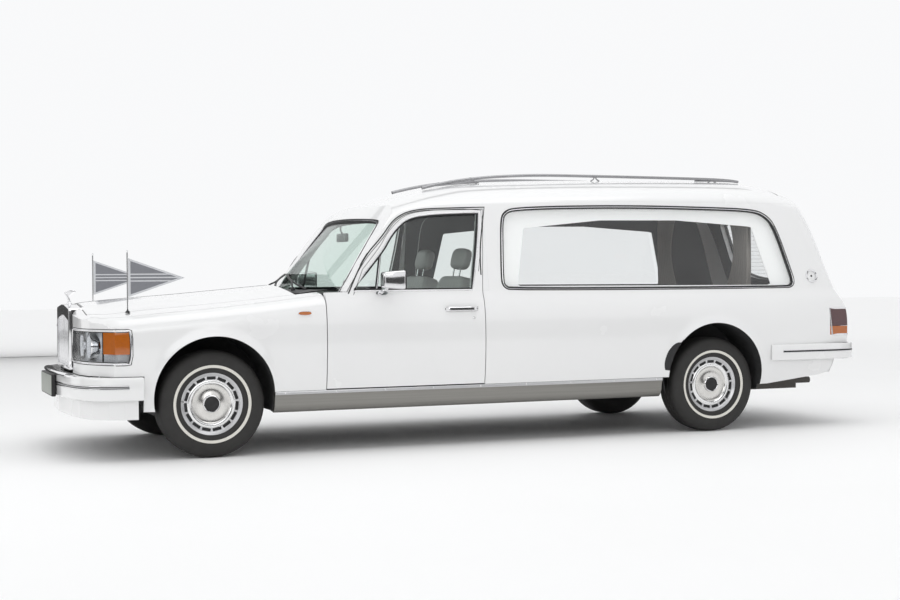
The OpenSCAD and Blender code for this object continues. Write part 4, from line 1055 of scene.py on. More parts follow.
last = len(plan) - 1.01
lampRing = soften([(0, headlamp["low"])] + [(s, headlamp["low"]) for s in np.arange(2, last - 1, 2)]
                  + [(last, headlamp["low"]), (last, headlamp["high"])]
                  + [(s, headlamp["high"]) for s in np.arange(last - 2, 1, -2)] + [(0, headlamp["high"])], (),
                  1)
pair(bead("lampBezel", lampRing, alongNose, humped(0.014, -0.008, 0.006)), chrome, "body")
pair(bead("lampGasket", lampRing, alongNose, humped(0.022, -0.01, 0.0025)), blackRubber, "body")
splitAt = min(range(len(plan)), key=lambda i: abs(plan[i][1] - headlamp["split"]))
pair(bead("lampDivider", [(splitAt, z) for z in np.linspace(headlamp["low"], headlamp["high"], 6)], alongNose,
          humped(0.008, -0.006, 0.003), False), blackTrim, "body")

lampSolid = boolean(copyOf(outer, "tailLens"), tailLampRegion(0), "INTERSECT")
boolean(lampSolid, cabinSolid("core", 0.05, 0.05, 0.05, 0.05))
lowLens = boolean(copyOf(lampSolid, "tailAmber"), block((rx(-1400), 0.3, 0.6), (rx(-900), 1.2, 0.739)),
                  "INTERSECT")
pair(lowLens, amberLens, "body")
boolean(lampSolid, block((rx(-1400), 0.3, 0.6), (rx(-900), 1.2, 0.741)))
pair(lampSolid, redLens, "body")
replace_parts(bpy.data.objects["tailLensLeft"], "tail_lamps")


def tailPlan(z):
    half = float(tailHalf(z))
    made = []
    for r in np.linspace((gate["y"] + 0.04) / half, 0.9999, 70):
        x, y = float(tailX(r, z)), r * half
        if y > float(sideY(x, z)):
            break
        made.append((x, y))
    return made + [(x, float(sideY(x, z))) for x in np.linspace(made[-1][0] + 0.008, rx(-982), 8)]


low, high = tailPlan(tailLamp["low"]), tailPlan(tailLamp["high"])
ring = [(*p, tailLamp["low"]) for p in low[::2]] + [(*p, tailLamp["high"]) for p in high[::-2]]
outs = [(-0.35 if p[0] > rx(-1100) else -1, 0.9 if p[0] > rx(-1150) else 0.35, 0) for p in ring]
pair(strip("tailBezel", ring, outs, humped(0.015, -0.01, 0.005)), chrome, "body")
repeater = [(fx(-584) + dx, 0.9 + dz) for dx,
            dz in ((-0.042, -0.011), (0.042, -0.011), (0.042, 0.011), (-0.042, 0.011))]
pair(patch("repeater", soften(repeater, (), 2), onSide(-0.009), 0.014, 3), amberLens, "body")
pair(bead("repeaterRim", soften(repeater, (), 2), onSide(0), humped(0.005, -0.002, 0.004)), chrome, "body")
print("lamps made")

# Radiator, mascot, bumpers
radiator = {"low": 0.545, "high": 0.962, "half": 0.282, "back": fx(705), "front": fx(791), "slats": 31}


def temple(inset, low, high):
    h, k = radiator["half"] - inset, high - inset
    return [(-h, low + inset), (h, low + inset), (h, k - 0.034), (h - 0.014, k - 0.022), (0.06, k),
            (-0.06, k),
            (-h + 0.014, k - 0.022), (-h, k - 0.034)]


surround = prism("radiatorShell", temple(0, radiator["low"], radiator["high"]), radiator["back"],
                 radiator["front"], "X")
bevel(surround, 0.005, 3)
opening = [(-0.256, 0.571), (0.256, 0.571), (0.256, 0.862), (0.05, 0.893), (-0.05, 0.893), (-0.256, 0.862)]
boolean(surround, prism("hole", opening, radiator["front"] - 0.05, radiator["front"] + 0.1, "X"))
done(surround, chrome, "body", "radiator")
slats = []
for i in range(radiator["slats"]):
    y = (i - (radiator["slats"] - 1) / 2) * 0.512 / radiator["slats"]
    top = 0.893 - max(0, abs(y) - 0.05) * 0.15 + 0.004
    wide = 0.0065 if i == radiator["slats"] // 2 else 0.0034
    slats.append(box("slat", (radiator["front"] - 0.046, y - wide, 0.567),
                     (radiator["front"] - 0.009, y + wide, top), 0.0022, 2))
done(joined("radiatorSlats", *slats), chrome, "body")
done(box("radiatorCore", (radiator["front"] - 0.0505, -0.258, 0.569),
         (radiator["front"] - 0.047, 0.258, 0.897), 0.001, 1), blackTrim, "body")
for sign in (1, -1):
    y = sign * 0.284
    done(box("radiatorGap" + "LR"[sign < 0], (fx(690), min(y, y + sign * 0.012), 0.56),
             (fx(775), max(y, y + sign * 0.012), 0.93), 0.003, 2), blackTrim, "body")

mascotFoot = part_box("mascot")[0]
mx = fx(748)
foot = [(0.0, 0.0), (0.017, 0.0), (0.017, 0.005), (0.013, 0.009), (0.0105, 0.013), (0.0125, 0.018),
        (0.006, 0.023), (0.0, 0.024)]
pieces = [lathe("foot", foot, (mx, 0, mascotFoot.z + 0.0002), 1, 40, "Z")]
trunk = [(0, 0.018), (0.004, 0.034), (0.012, 0.052), (0.02, 0.068), (0.024, 0.08)]
pieces.append(tube("trunk", [(mx + a, 0, mascotFoot.z + b) for a, b in trunk],
                   [0.006, 0.0085, 0.007, 0.009, 0.005], 16))
for sign in (1, -1):
    rows = []
    for t in np.linspace(0, 1, 9):
        span, drop = 0.012 + 0.016 * math.sin(math.pi * min(1, t + 0.25)), 0.004 * math.sin(math.pi * t)
        c = Vector((mx + 0.016 - 0.052 * t, sign * (0.005 + 0.014 * math.sin(1.4 * t)),
                    mascotFoot.z + 0.062 + 0.024 * t + drop))
        corners = ((-1, 0), (0, -1), (1, 0), (0, 1))
        rows.append([c + Vector((0.3 * span * a, sign * 0.0016 * b, span * 0.5 * a)) for a, b in corners])
    pieces.append(loft("vane", rows))
done(joined("mascotFigure", *pieces), chrome, "body", "mascot", 60)

bumperHalf = [(bumperX, 0), (bumperX - 0.006, 0.25), (bumperX - 0.024, 0.45), (bumperX - 0.052, 0.64),
              (bumperX - 0.092, 0.765), (bumperX - 0.145, 0.85), (bumperX - 0.215, 0.905),
              (bumperX - 0.31, 0.936),
              (bumperX - 0.44, halfW + 0.006)]


def smoothPath(points, n=120):
    p = np.array(points, float)
    s = np.concatenate([[0], np.cumsum(np.linalg.norm(np.diff(p, axis=0), axis=1))])
    t = np.linspace(0, s[-1], n)
    return np.stack([curve(t, np.stack([s, p[:, k]], 1)) for k in range(p.shape[1])], 1)


front = smoothPath(bumperHalf)
back = smoothPath([(bumperX - 0.44, halfW - 0.06), (bumperX - 0.26, 0.86), (bumperX - 0.19, 0.78),
                   (bumperX - 0.134, 0.6),
                   (bumperX - 0.114, 0.45), (bumperX - 0.113, 0.3), (bumperX - 0.096, 0)], 60)
ring = [tuple(p) for p in front] + [tuple(p) for p in back[:-1]]
ring = ring + [(x, -y) for x, y in ring[::-1] if y > 0.001]
bumper = prism("frontBumper", ring[1:] if ring[0] == ring[-1] else ring, 0.381, 0.524, "Z")
bevel(bumper, 0.012, 3, 50)
for sign in (1, -1):
    arch = archCut({"x": frontArch["x"], "z": frontArch["z"], "r": car["archR"] + 0.06})
    if sign < 0:
        flip(arch)
    boolean(bumper, arch)
done(bumper, whitePaint, "body", "front_bumper")


def ribbon(name, path, z, profile, material):
    points = [Vector((x, y, z)) for x, y in path]
    outs = []
    for i, p in enumerate(points):
        d = points[min(i + 1, len(points) - 1)] - points[max(i - 1, 0)]
        outs.append(Vector((d.y, -d.x, 0)))
    return done(strip(name, points, outs, profile, False), material, "body")


frontBoth = [(x, -y) for x, y in front[::-1]] + [tuple(p) for p in front[1:]]
insert = [p for p in frontBoth if p[0] > fx(522)]
ribbon("frontInsertDark", insert, 0.463, humped(0.026, -0.004, 0.0022), blackTrim)
for k, z in enumerate((0.4535, 0.4725)):
    ribbon("frontInsertBright" + "AB"[k], insert, z, humped(0.0065, -0.004, 0.0045), chrome)
ribbon("frontInsertMid", insert, 0.463, humped(0.006, 0, 0.0035), satinSilver)
blade = [(x - 0.02, y) for x, y in frontBoth if abs(y) < 0.52]
done(strip("bumperBlade", [(x, y, 0.524) for x, y in blade], [(0, 0, 1)] * len(blade),
           humped(0.06, -0.004, 0.014), False),
     chrome, "body")
lowPlate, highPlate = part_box("front_plate")
done(box("frontPlateHolder", lowPlate, highPlate, 0.006, 3), blackTrim, "body", "front_plate")
done(box("frontPlate", (highPlate.x - 0.004, lowPlate.y + 0.006, lowPlate.z + 0.008),
         (highPlate.x, highPlate.y - 0.006, highPlate.z - 0.008), 0.0018, 2), plateGrey, "body")
bpy.data.objects["frontPlateHolder"].data.transform(Matrix.Translation((-0.002, 0, 0)))
lowPlate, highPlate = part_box("rear_plate")
done(box("rearPlateHolder", (lowPlate.x + 0.003, lowPlate.y, lowPlate.z), highPlate, 0.006, 3), blackTrim,
     "tailgate", "rear_plate")
done(box("rearPlate", (lowPlate.x, lowPlate.y + 0.012, lowPlate.z + 0.012),
         (lowPlate.x + 0.006, highPlate.y - 0.012, highPlate.z - 0.012), 0.0018, 2), plateGrey, "tailgate")
rearHalf = [(rx(-1325), 0), (rx(-1319), 0.4), (rx(-1299), 0.64), (rx(-1259), 0.79), (rx(-1195), 0.885),
            (rx(-1095), 0.932),
            (rx(-925), halfW + 0.008), (rx(-455), halfW + 0.008)]
rear = smoothPath(rearHalf)
z = 0.615
innerRear = [(rx(a), float(sideY(rx(a), z)) + 0.0005) for a in (-455, -600, -750, -900, -1000)]
shares = [math.sin(i * math.pi / 2 / 24.6) for i in range(23, -1, -1)]
innerRear += [(float(tailX(r, z)) - 0.001, r * float(tailHalf(z)) + 0.001) for r in shares]
ring = [tuple(p) for p in rear] + innerRear
ring += [(x, -y) for x, y in ring[::-1] if y > 0.0015]
bumper = prism("rearBumper", ring, 0.498, 0.614, "Z")
done(bevel(bumper, 0.012, 3, 50), whitePaint, "body", "rear_bumper")
rearBoth = [(x, -y) for x, y in rear[::-1]] + [tuple(p) for p in rear[1:]]
insert = [p for p in rearBoth[::-1] if p[0] < rx(-545)]
ribbon("rearInsertDark", insert, 0.562, humped(0.02, -0.004, 0.0022), blackTrim)
for k, z in enumerate((0.5545, 0.5695)):
    ribbon("rearInsertBright" + "AB"[k], insert, z, humped(0.0055, -0.004, 0.004), chrome)
print("nose and bumpers made")

# Sills, with a bright cap strip over a dull face
sillRows = [(0.76, 0.404), (halfW - 0.03, 0.404), (halfW - 0.0285, 0.401), (halfW - 0.0295, 0.384),
            (halfW - 0.031, 0.382),
            (halfW - 0.041, 0.365), (halfW - 0.05, 0.315), (halfW - 0.066, 0.282), (halfW - 0.088, 0.266),
            (0.76, 0.278)]
sill = prism("sill", sillRows, fx(-394), rx(432), "X")
bevel(sill, 0.002, 2)
for one in pair(sill, sillMetal, "body"):
    twoTone(one, satinSilver, lambda c, n: c.z > 0.383)
    twoTone(one, blackRubber, lambda c, n: n.z > 0.8 and c.z > 0.4)
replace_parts(bpy.data.objects["sillLeft"], "sills")
screws = [lathe("screw", [(0, 0.0025), (0.003, 0.0022), (0.0055, 0.0008), (0.006, 0), (0, 0)],
                (x, halfW - 0.0295, 0.393), 1, 12)
          for x in np.linspace(fx(-460), rx(480), 9)]
pair(joined("sillScrews", *screws), chrome, "body")

# Door mirrors, handles and locks
mirror = {"x": doorFront - 0.428, "y": halfW + 0.027, "z": waistZ + 0.005}
head = box("mirrorHead", (mirror["x"] - 0.062, mirror["y"], mirror["z"] + 0.012),
           (mirror["x"] + 0.084, mirror["y"] + 0.116, mirror["z"] + 0.138))
for vert in head.data.vertices:
    if vert.co.x > mirror["x"] + 0.05:
        vert.co.y = mirror["y"] + 0.058 + (vert.co.y - mirror["y"] - 0.058) * 0.8
        vert.co.z = mirror["z"] + 0.069 + (vert.co.z - mirror["z"] - 0.069) * 0.8
bevel(head, 0.016, 5)
pair(head, chrome, "door_left", "door_right", ("door_fittings_left", "door_fittings_right"))
pair(box("mirrorFrame", (mirror["x"] - 0.067, mirror["y"] + 0.006, mirror["z"] + 0.018),
         (mirror["x"] - 0.056, mirror["y"] + 0.11, mirror["z"] + 0.128), 0.004, 3), blackTrim, "door_left",
     "door_right")
pair(box("mirrorPane", (mirror["x"] - 0.069, mirror["y"] + 0.012, mirror["z"] + 0.024),
         (mirror["x"] - 0.064, mirror["y"] + 0.104, mirror["z"] + 0.122), 0.002, 2), mirrorGlass, "door_left",
     "door_right")
skin = float(sideY(mirror["x"] + 0.04, waistZ - 0.005))
stem = [(mirror["x"] + 0.045, skin + 0.004, waistZ - 0.004),
        (mirror["x"] + 0.045, skin + 0.03, waistZ + 0.014),
        (mirror["x"] + 0.045, mirror["y"] + 0.03, waistZ + 0.02),
        (mirror["x"] + 0.045, mirror["y"] + 0.045, waistZ + 0.034)]
pair(tube("mirrorStem", [tuple(p) for p in smoothPath(stem, 16)], 0.011, 14), chrome, "door_left",
     "door_right")
pair(patch("mirrorFoot",
           soften([(mirror["x"] + 0.005, waistZ - 0.02), (mirror["x"] + 0.085, waistZ - 0.02),
                   (mirror["x"] + 0.085, waistZ + 0.006), (mirror["x"] + 0.005, waistZ + 0.006)], (), 2),
           onSide(-0.007), 0.009, 3), chrome, "door_left", "door_right")
handle = {"x": doorRear + 0.054, "z": 0.913, "long": 0.23}
ys = float(sideY(handle["x"], handle["z"]))
grip = [(handle["x"], ys + 0.006, handle["z"]), (handle["x"] + 0.02, ys + 0.018, handle["z"]),
        (handle["x"] + 0.115, ys + 0.026, handle["z"]), (handle["x"] + 0.205, ys + 0.02, handle["z"]),
        (handle["x"] + handle["long"], ys + 0.006, handle["z"])]
path = smoothPath(grip, 26)
bar = strip("doorHandle", path, [(0, 1, 0)] * len(path),
            [(-0.012, -0.003), (-0.0135, 0.002), (-0.008, 0.0055), (0.008, 0.0055), (0.0135, 0.002),
             (0.012, -0.003)], False)
pair(bar, chrome, "door_left", "door_right")
plateRows = [(handle["x"] - 0.002, handle["z"] - 0.014), (handle["x"] + 0.232, handle["z"] - 0.014),
             (handle["x"] + 0.232, handle["z"] + 0.014), (handle["x"] - 0.002, handle["z"] + 0.014)]
pair(patch("handlePlate", soften(plateRows, (), 2), onSide(-0.0022), 0.004, 3), blackTrim, "door_left",
     "door_right")
pair(lathe("handleButton", [(0, 0.009), (0.007, 0.0085), (0.009, 0.006), (0.009, 0), (0, 0)],
           (handle["x"] + 0.035, ys + 0.016, handle["z"]), 1, 24), satinSilver, "door_left", "door_right")
yl = float(sideY(handle["x"] + 0.03, 0.85))
pair(lathe("doorLock",
           [(0, 0.002), (0.004, 0.003), (0.0075, 0.0035), (0.0105, 0.002), (0.011, -0.002), (0, -0.002)],
           (handle["x"] + 0.03, yl, 0.85), 1, 28), chrome, "door_left", "door_right")

# Round blank badges on the rear pillars
badge = {"x": rx(-856), "z": 1.113}
yb = float(sideY(badge["x"], badge["z"]))
lean = math.atan2(float(sideY(badge["x"], 1.16) - sideY(badge["x"], 1.06)), 0.1)
rim = lathe("badgeRing",
            [(0.036, 0.001), (0.038, 0.006), (0.043, 0.008), (0.048, 0.006), (0.05, 0.0), (0.036, 0.0),
             (0.036, 0.001)], (0, 0, 0), 1, 64)
dot = lathe("badgeDot", [(0, 0.005), (0.004, 0.0045), (0.007, 0.002), (0.0075, -0.001), (0, -0.001)],
            (0, 0, 0), 1, 28)
badgeSpot = Matrix.Translation((badge["x"], yb + 0.001, badge["z"])) @ Matrix.Rotation(-lean, 4, "X")
for part, material in ((rim, chrome), (dot, blackTrim)):
    part.data.transform(badgeSpot)
    pair(part, material, "body")
print("side trim made")


# Wheels and tyres, made once and copied to each corner
wheel = {"slots": 15}
tyreProfile = [(0.196, -0.09), (0.2, -0.096), (0.217, -0.1), (0.252, -0.111), (0.267, -0.1122),
               (0.298, -0.1085), (0.318, -0.102),
               (0.329, -0.091), (0.335, -0.078), (0.3378, -0.055)]
for y in (-0.036, 0.0, 0.036):
    tyreProfile += [(0.338, y - 0.0045), (0.331, y - 0.0035), (0.331, y + 0.0035), (0.338, y + 0.0045)]
tyreProfile += [(0.3378, 0.055), (0.335, 0.078), (0.329, 0.091), (0.318, 0.102), (0.298, 0.1085),
                (0.267, 0.1122), (0.2522, 0.1112),
                (0.2505, 0.1096), (0.248, 0.1108), (0.226, 0.105), (0.224, 0.1025), (0.217, 0.101),
                (0.2, 0.096), (0.196, 0.09)]
tyre = lathe("tyre", tyreProfile + [tyreProfile[0]], (0, 0, 0), 1, 144)
alone(tyre)
for face in tyre.data.polygons:
    c = face.center
    turnAt = math.degrees(math.atan2(c.z, c.x)) % 5
    r = math.hypot(c.x, c.z)
    tread = r > 0.3335 and 0.055 < abs(c.y) < 0.085
    shoulder = r > 0.327 and 0.078 < abs(c.y) < 0.095
    face.select = turnAt < 2.5 and (tread or shoulder)
bpy.ops.object.mode_set(mode="EDIT")
bpy.ops.mesh.select_mode(type="FACE")
bpy.ops.mesh.extrude_region_shrink_fatten(TRANSFORM_OT_shrink_fatten={"value": -0.005})
bpy.ops.object.mode_set(mode="OBJECT")
whiteBand = lathe("whiteBand",
                  [(0.2275, 0.1048), (0.2285, 0.1066), (0.237, 0.1088), (0.2455, 0.1105), (0.2465, 0.1098),
                   (0.2465, 0.104), (0.2275, 0.1), (0.2275, 0.1048)], (0, 0, 0), 1, 144)
rimProfile = [(0.195, -0.0905), (0.185, -0.0905), (0.185, 0.03), (0.147, 0.044), (0.12, 0.046), (0.075, 0.04),
              (0.05, 0.04), (0.05, 0.062),
              (0.124, 0.05), (0.1245, 0.066), (0.13, 0.0715), (0.138, 0.0735), (0.148, 0.0725), (0.152, 0.07),
              (0.177, 0.074), (0.181, 0.0785),
              (0.19, 0.082), (0.2, 0.0905), (0.205, 0.0935), (0.2068, 0.092), (0.2062, 0.088), (0.195, 0.087),
              (0.195, -0.0905)]
disc = lathe("wheelDisc", rimProfile, (0, 0, 0), 1, 144)
for i in range(wheel["slots"]):
    a = i * math.tau / wheel["slots"]
    hole = box("hole", (-0.0285, 0.052, 0.1545), (0.0285, 0.12, 0.1745), 0.004, 2)
    for v in hole.data.vertices:  # bend the slot round the rim
        r, t = v.co.z, v.co.x / v.co.z
        v.co.x, v.co.z = r * math.sin(t + a), r * math.cos(t + a)
    boolean(disc, hole)
slotShade = lathe("slotShade", [(0.15, 0.058), (0.18, 0.058), (0.18, 0.062), (0.15, 0.062), (0.15, 0.058)],
                  (0, 0, 0), 1, 72)
dish = lathe("wheelDish",
             [(0.0, 0.058), (0.054, 0.058), (0.056, 0.064), (0.07, 0.0605), (0.095, 0.0575), (0.118, 0.0595),
              (0.1243, 0.064),
                           (0.1248, 0.06), (0.12, 0.051), (0.0, 0.051)], (0, 0, 0), 1, 96)
boss = lathe("wheelBoss",
             [(0, 0.088), (0.02, 0.0875), (0.036, 0.085), (0.045, 0.0805), (0.047, 0.078), (0.047, 0.058),
              (0, 0.058)], (0, 0, 0), 1, 64)
bossRim = lathe("bossRim",
                [(0.046, 0.078), (0.0475, 0.0825), (0.051, 0.0845), (0.0545, 0.082), (0.056, 0.074),
                 (0.056, 0.058), (0.046, 0.058), (0.046, 0.078)], (0, 0, 0), 1, 64)
valve = tube("valve", [(0.179, 0.078, 0.02), (0.181, 0.09, 0.02), (0.182, 0.096, 0.02)], 0.0032, 10)
brightRim = simple("brightRim", (0.86, 0.86, 0.86), 0.12, 0.2, 1.0, 0.03, 30.0)
wheelParts = [(tyre, tyreRubber, "tyre"), (whiteBand, whiteWall, None), (disc, satinSilver, "wheel"),
              (slotShade, blackTrim, None),
              (dish, brushedDish, None), (boss, blackTrim, None), (bossRim, chrome, None),
              (valve, blackRubber, None)]
for end, x in (("front", frontX), ("rear", rearX)):
    for side, sign in (("left", 1), ("right", -1)):
        for k, (part, material, node) in enumerate(wheelParts):
            label = part.name.split(".")[0] + end.capitalize() + side.capitalize()
            made = copyOf(part, label) if sign > 0 else mirrorOf(part, label)
            made.data.transform(Matrix.Translation((x, sign * hubY, hubZ)))
            done(made, material, f"wheel_{end}_{side}", f"{node}_{end}_{side}" if node else ())
            if part is disc:
                twoTone(made, brightRim, lambda c,
                        n: 0.12 < math.hypot(c.x - x, c.z - hubZ) < 0.1535 and abs(c.y) > hubY + 0.045)
for part, _, _ in wheelParts:
    bpy.data.objects.remove(part)
print("wheels made")

# Roof rails
rail = {"y": 0.32, "r": 0.0105, "top": roofZ + 0.008}
t = rail["top"]
railRows = [(fx(-1610), t - 0.108), (fx(-1710), t - 0.084), (fx(-1850), t - 0.056), (fx(-2010), t - 0.034),
            (fx(-2190), t - 0.017),
            (fx(-2500), t - 0.002), ((fx(-2500) + rx(200)) / 2, t), (rx(200), t - 0.001),
            (rx(-250), t - 0.004), (rx(-420), t - 0.008),
            (rx(-500), t - 0.013), (rx(-560), t - 0.02)]
railPath = smoothPath(railRows, 150)
parts = [tube("rail", [(x, rail["y"], z) for x, z in railPath], rail["r"], 16)]
for k, x in enumerate((fx(-1990), (fx(-2500) + rx(200)) / 2, rx(-330))):
    top = float(np.interp(-x, -railPath[:, 0], railPath[:, 1]))
    seatZ = roofAt(x, rail["y"])
    for lean in (-1, 1):
        foot = smoothPath([(x + lean * 0.006, rail["y"], top),
                           (x + lean * 0.01, rail["y"], (top + seatZ) / 2),
                           (x + lean * 0.034, rail["y"], seatZ + 0.002)], 10)
        parts.append(tube("foot", [tuple(p) for p in foot], 0.0052, 10))
    parts.append(tube("collar", [(x - 0.018, rail["y"], top), (x + 0.018, rail["y"], top)], 0.0108, 16))
for a, b in ((fx(-1700), fx(-2040)), (rx(-520), rx(-180))):
    za, zb = float(np.interp(-a, -railPath[:, 0], railPath[:, 1])), roofAt(b, rail["y"]) + 0.008
    stay = smoothPath([(a, rail["y"], za - 0.004),
                       ((a + b) / 2, rail["y"], max((za + zb) / 2, roofAt((a + b) / 2, rail["y"]) + 0.008)),
                       (b, rail["y"], zb)], 14)
    parts.append(tube("stay", [tuple(p) for p in stay], 0.0055, 12))
railMetal = simple("railMetal", (0.36, 0.36, 0.37), 0.16, 0.26, 1.0, 0.08, 30.0)
pair(joined("roofRail", *parts), railMetal, "body")
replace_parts(bpy.data.objects["roofRailLeft"], "roof_rails")

# Flags and their poles
flag = {"x": fx(490), "y": 0.711}
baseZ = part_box("flag_poles")[0].z
poleFoot = lathe("cap",
                 [(0, 0.022), (0.004, 0.022), (0.006, 0.014), (0.013, 0.008), (0.015, 0.003), (0.015, 0),
                  (0, 0)], (flag["x"], flag["y"], baseZ), 1, 36, "Z")
pair(poleFoot, blackRubber, "body")
pole = lathe("flagPole",
             [(0, 0.02), (0.004, 0.02), (0.004, 0.376), (0.0055, 0.378), (0.0045, 0.382), (0.0066, 0.386),
              (0.0055, 0.39), (0, 0.3915)], (flag["x"], flag["y"], baseZ), 1, 28, "Z")
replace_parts(pair(pole, chrome, "body")[0], "flag_poles")
flagCloth = clothFinish("flagCloth", (0.2, 0.205, 0.225), (0.23, 0.235, 0.255), 500.0)
spot = flagCloth.node("SeparateXYZ", {}, {"Vector": flagCloth.node("TexCoord", out="Object")}, out=2)
along = flagCloth.node("SeparateXYZ", {}, {"Vector": flagCloth.node("TexCoord", out="Object")}, out=0)
across = abs(spot - (baseZ + 0.219))
lines = (across < 0.0038) + (abs(across - 0.021) < 0.0038)
back = (flag["x"] - along) * (1 / 0.354)
topEdge = (baseZ + 0.341) - back * 0.125 - spot
lowEdge = spot - ((baseZ + 0.097) + back * 0.119)
border = (topEdge < 0.011) + (lowEdge < 0.011) + (back < 0.055)
flagCloth.set("Base Color",
              flagCloth.mix((lines + border).join("MINIMUM", lines + border, 1.0), (0.215, 0.22, 0.24),
                            (0.62, 0.63, 0.65)))
edgeA, edgeB, tip = (0.0, 0.341), (0.0, 0.097), (-0.354, 0.216)
for sign, label in ((1, "Left"), (-1, "Right")):
    verts = []
    n, m = 40, 22
    for i in range(n + 1):
        s = i / n * 0.985
        for j in range(m + 1):
            zTop, zLow = edgeA[1] + (tip[1] - edgeA[1]) * s, edgeB[1] + (tip[1] - edgeB[1]) * s
            z = zLow + (zTop - zLow) * j / m
            wave = 0.0035 * math.sin(s * 7 + z * 6) * s
            verts.append((flag["x"] - 0.0045 - 0.354 * s, sign * flag["y"] + wave, baseZ + z))
    cloth = solid("flagCloth" + label, verts, gridFaces(n, m), False)
    thicken(cloth, 0.0008)
    done(cloth, flagCloth.made, "body", "flags" if sign > 0 else (), 60)
    "flagPole" + label
print("rails and flags made")

# Cowl, wipers and inside mirror
rows = []
for y in np.linspace(-0.685, 0.685, 41):
    x1 = float(screenX(y, 1.045)) + 0.006
    rows.append([(fx(-628), y, 1.027), (fx(-628) * 0.5 + x1 * 0.5, y, 1.04), (x1, y, 1.047), (x1, y, 1.043),
                 (fx(-628), y, 1.023)])
done(loft("cowlPanel", rows), blackTrim, "body", angle=40)
scuttleParts = [box("firewall", (fx(-640), -0.7, 0.3245), (fx(-610), 0.7, 0.95), 0.006, 2),
                box("tray", (fx(-722), -0.7, 0.93), (fx(-552), 0.7, 0.95), 0.004, 2),
                box("riser", (fx(-640), -0.69, 0.94), (fx(-624), 0.69, 1.02), 0.003, 2)]
for side in (1, -1):
    y = sorted((side * 0.69, side * 0.842))
    scuttleParts.append(box("post", (doorFront + 0.008, y[0], sillZ + 0.001), (doorFront + 0.1, y[1], 0.95),
                            0.01, 3))
    for z in (0.57, 0.8):
        y = sorted((side * 0.83, side * 0.862))
        scuttleParts.append(box("hingeArm", (doorFront - 0.012, y[0], z - 0.018),
                                (doorFront + 0.03, y[1], z + 0.018), 0.005, 2))
done(joined("scuttle", *scuttleParts), blackTrim, "body", "scuttle")
for k, y0 in enumerate((0.34, -0.2)):
    pivot = Vector((float(screenX(y0, 1.04)) + 0.03, y0, 1.05))
    arm = [pivot, pivot + Vector((0.0, -0.02, 0.02)),
           Vector((float(screenX(y0 - 0.14, 1.09)) + 0.02, y0 - 0.14, 1.095)),
           Vector((float(screenX(y0 - 0.3, 1.12)) + 0.013, y0 - 0.3, 1.12))]
    made = [tube("arm", [tuple(p) for p in smoothPath([tuple(a) for a in arm], 18)], 0.006, 10)]
    bladePath = [(float(screenX(y, 1.07 + (y0 - y) * 0.17)) + 0.01, y,
                  1.07 + (y0 - y) * 0.17) for y in np.linspace(y0 + 0.12, y0 - 0.46, 18)]
    made.append(strip("blade", bladePath, [(1, 0, 0.6)] * 18,
                      [(-0.007, -0.004), (-0.005, 0.008), (0.005, 0.008), (0.007, -0.004)], False))
    made.append(lathe("spindle", [(0, 0.02), (0.009, 0.018), (0.013, 0.008), (0.015, -0.012), (0, -0.012)],
                      tuple(pivot - Vector((0, 0, 0.006))), 1, 20, "Z"))
    done(joined("wiper" + "AB"[k], *made), blackTrim, "body")
mirrorX = float(screenX(0, 1.44)) - 0.09
done(box("insideMirror", (mirrorX - 0.012, -0.11, 1.375), (mirrorX + 0.012, 0.11, 1.435), 0.01, 4), blackTrim,
     "body")
done(box("insideMirrorPane", (mirrorX - 0.0135, -0.103, 1.382), (mirrorX - 0.0115, 0.103, 1.428), 0.0009, 2),
     mirrorGlass, "body")
done(tube("insideMirrorStem",
          [tuple(p) for p in smoothPath([(mirrorX, 0, 1.43), (mirrorX + 0.014, 0, 1.47),
                                         (mirrorX - 0.01, 0, 1.52), (mirrorX - 0.05, 0, 1.55)], 12)], 0.006,
          10), blackTrim, "body")

# Seats: pleated cushions
def cushion(name, size, place, pleats, tilt=0.0, round=7.0, cuts=48, face="top"):
    b = bmesh.new()
    bmesh.ops.create_cube(b, size=2)
    bmesh.ops.subdivide_edges(b, edges=b.edges, cuts=cuts, use_grid_fill=True)
    for v in b.verts:
        k = (abs(v.co.x)**round + abs(v.co.y)**round + abs(v.co.z)**round)**(1 / round)
        p = v.co / k
        crown = (1 - (v.co.x if face == "top" else v.co.z)**2) * (1 - v.co.y**2)
        groove = abs(math.sin(math.pi * (v.co.y + 1) / 2 * pleats)) if pleats and abs(v.co.y) < 0.86 else 1
        push = 0.1 * crown - 0.09 * (1 - groove**0.5) * min(1, crown * 4)
        if face == "top" and v.co.z > 0.5:
            p.z += push
        if face == "front" and v.co.x > 0.5:
            p.x += push
        v.co = Vector((p.x * size[0] / 2, p.y * size[1] / 2, p.z * size[2] / 2))
    mesh = bpy.data.meshes.new(name)
    b.to_mesh(mesh)
    b.free()
    obj = bpy.data.objects.new(name, mesh)
    bpy.context.scene.collection.objects.link(obj)
    mesh.transform(Matrix.Translation(place) @ Matrix.Rotation(tilt, 4, "Y"))
    done(obj, greyLeather, "body", angle=60)
    return obj


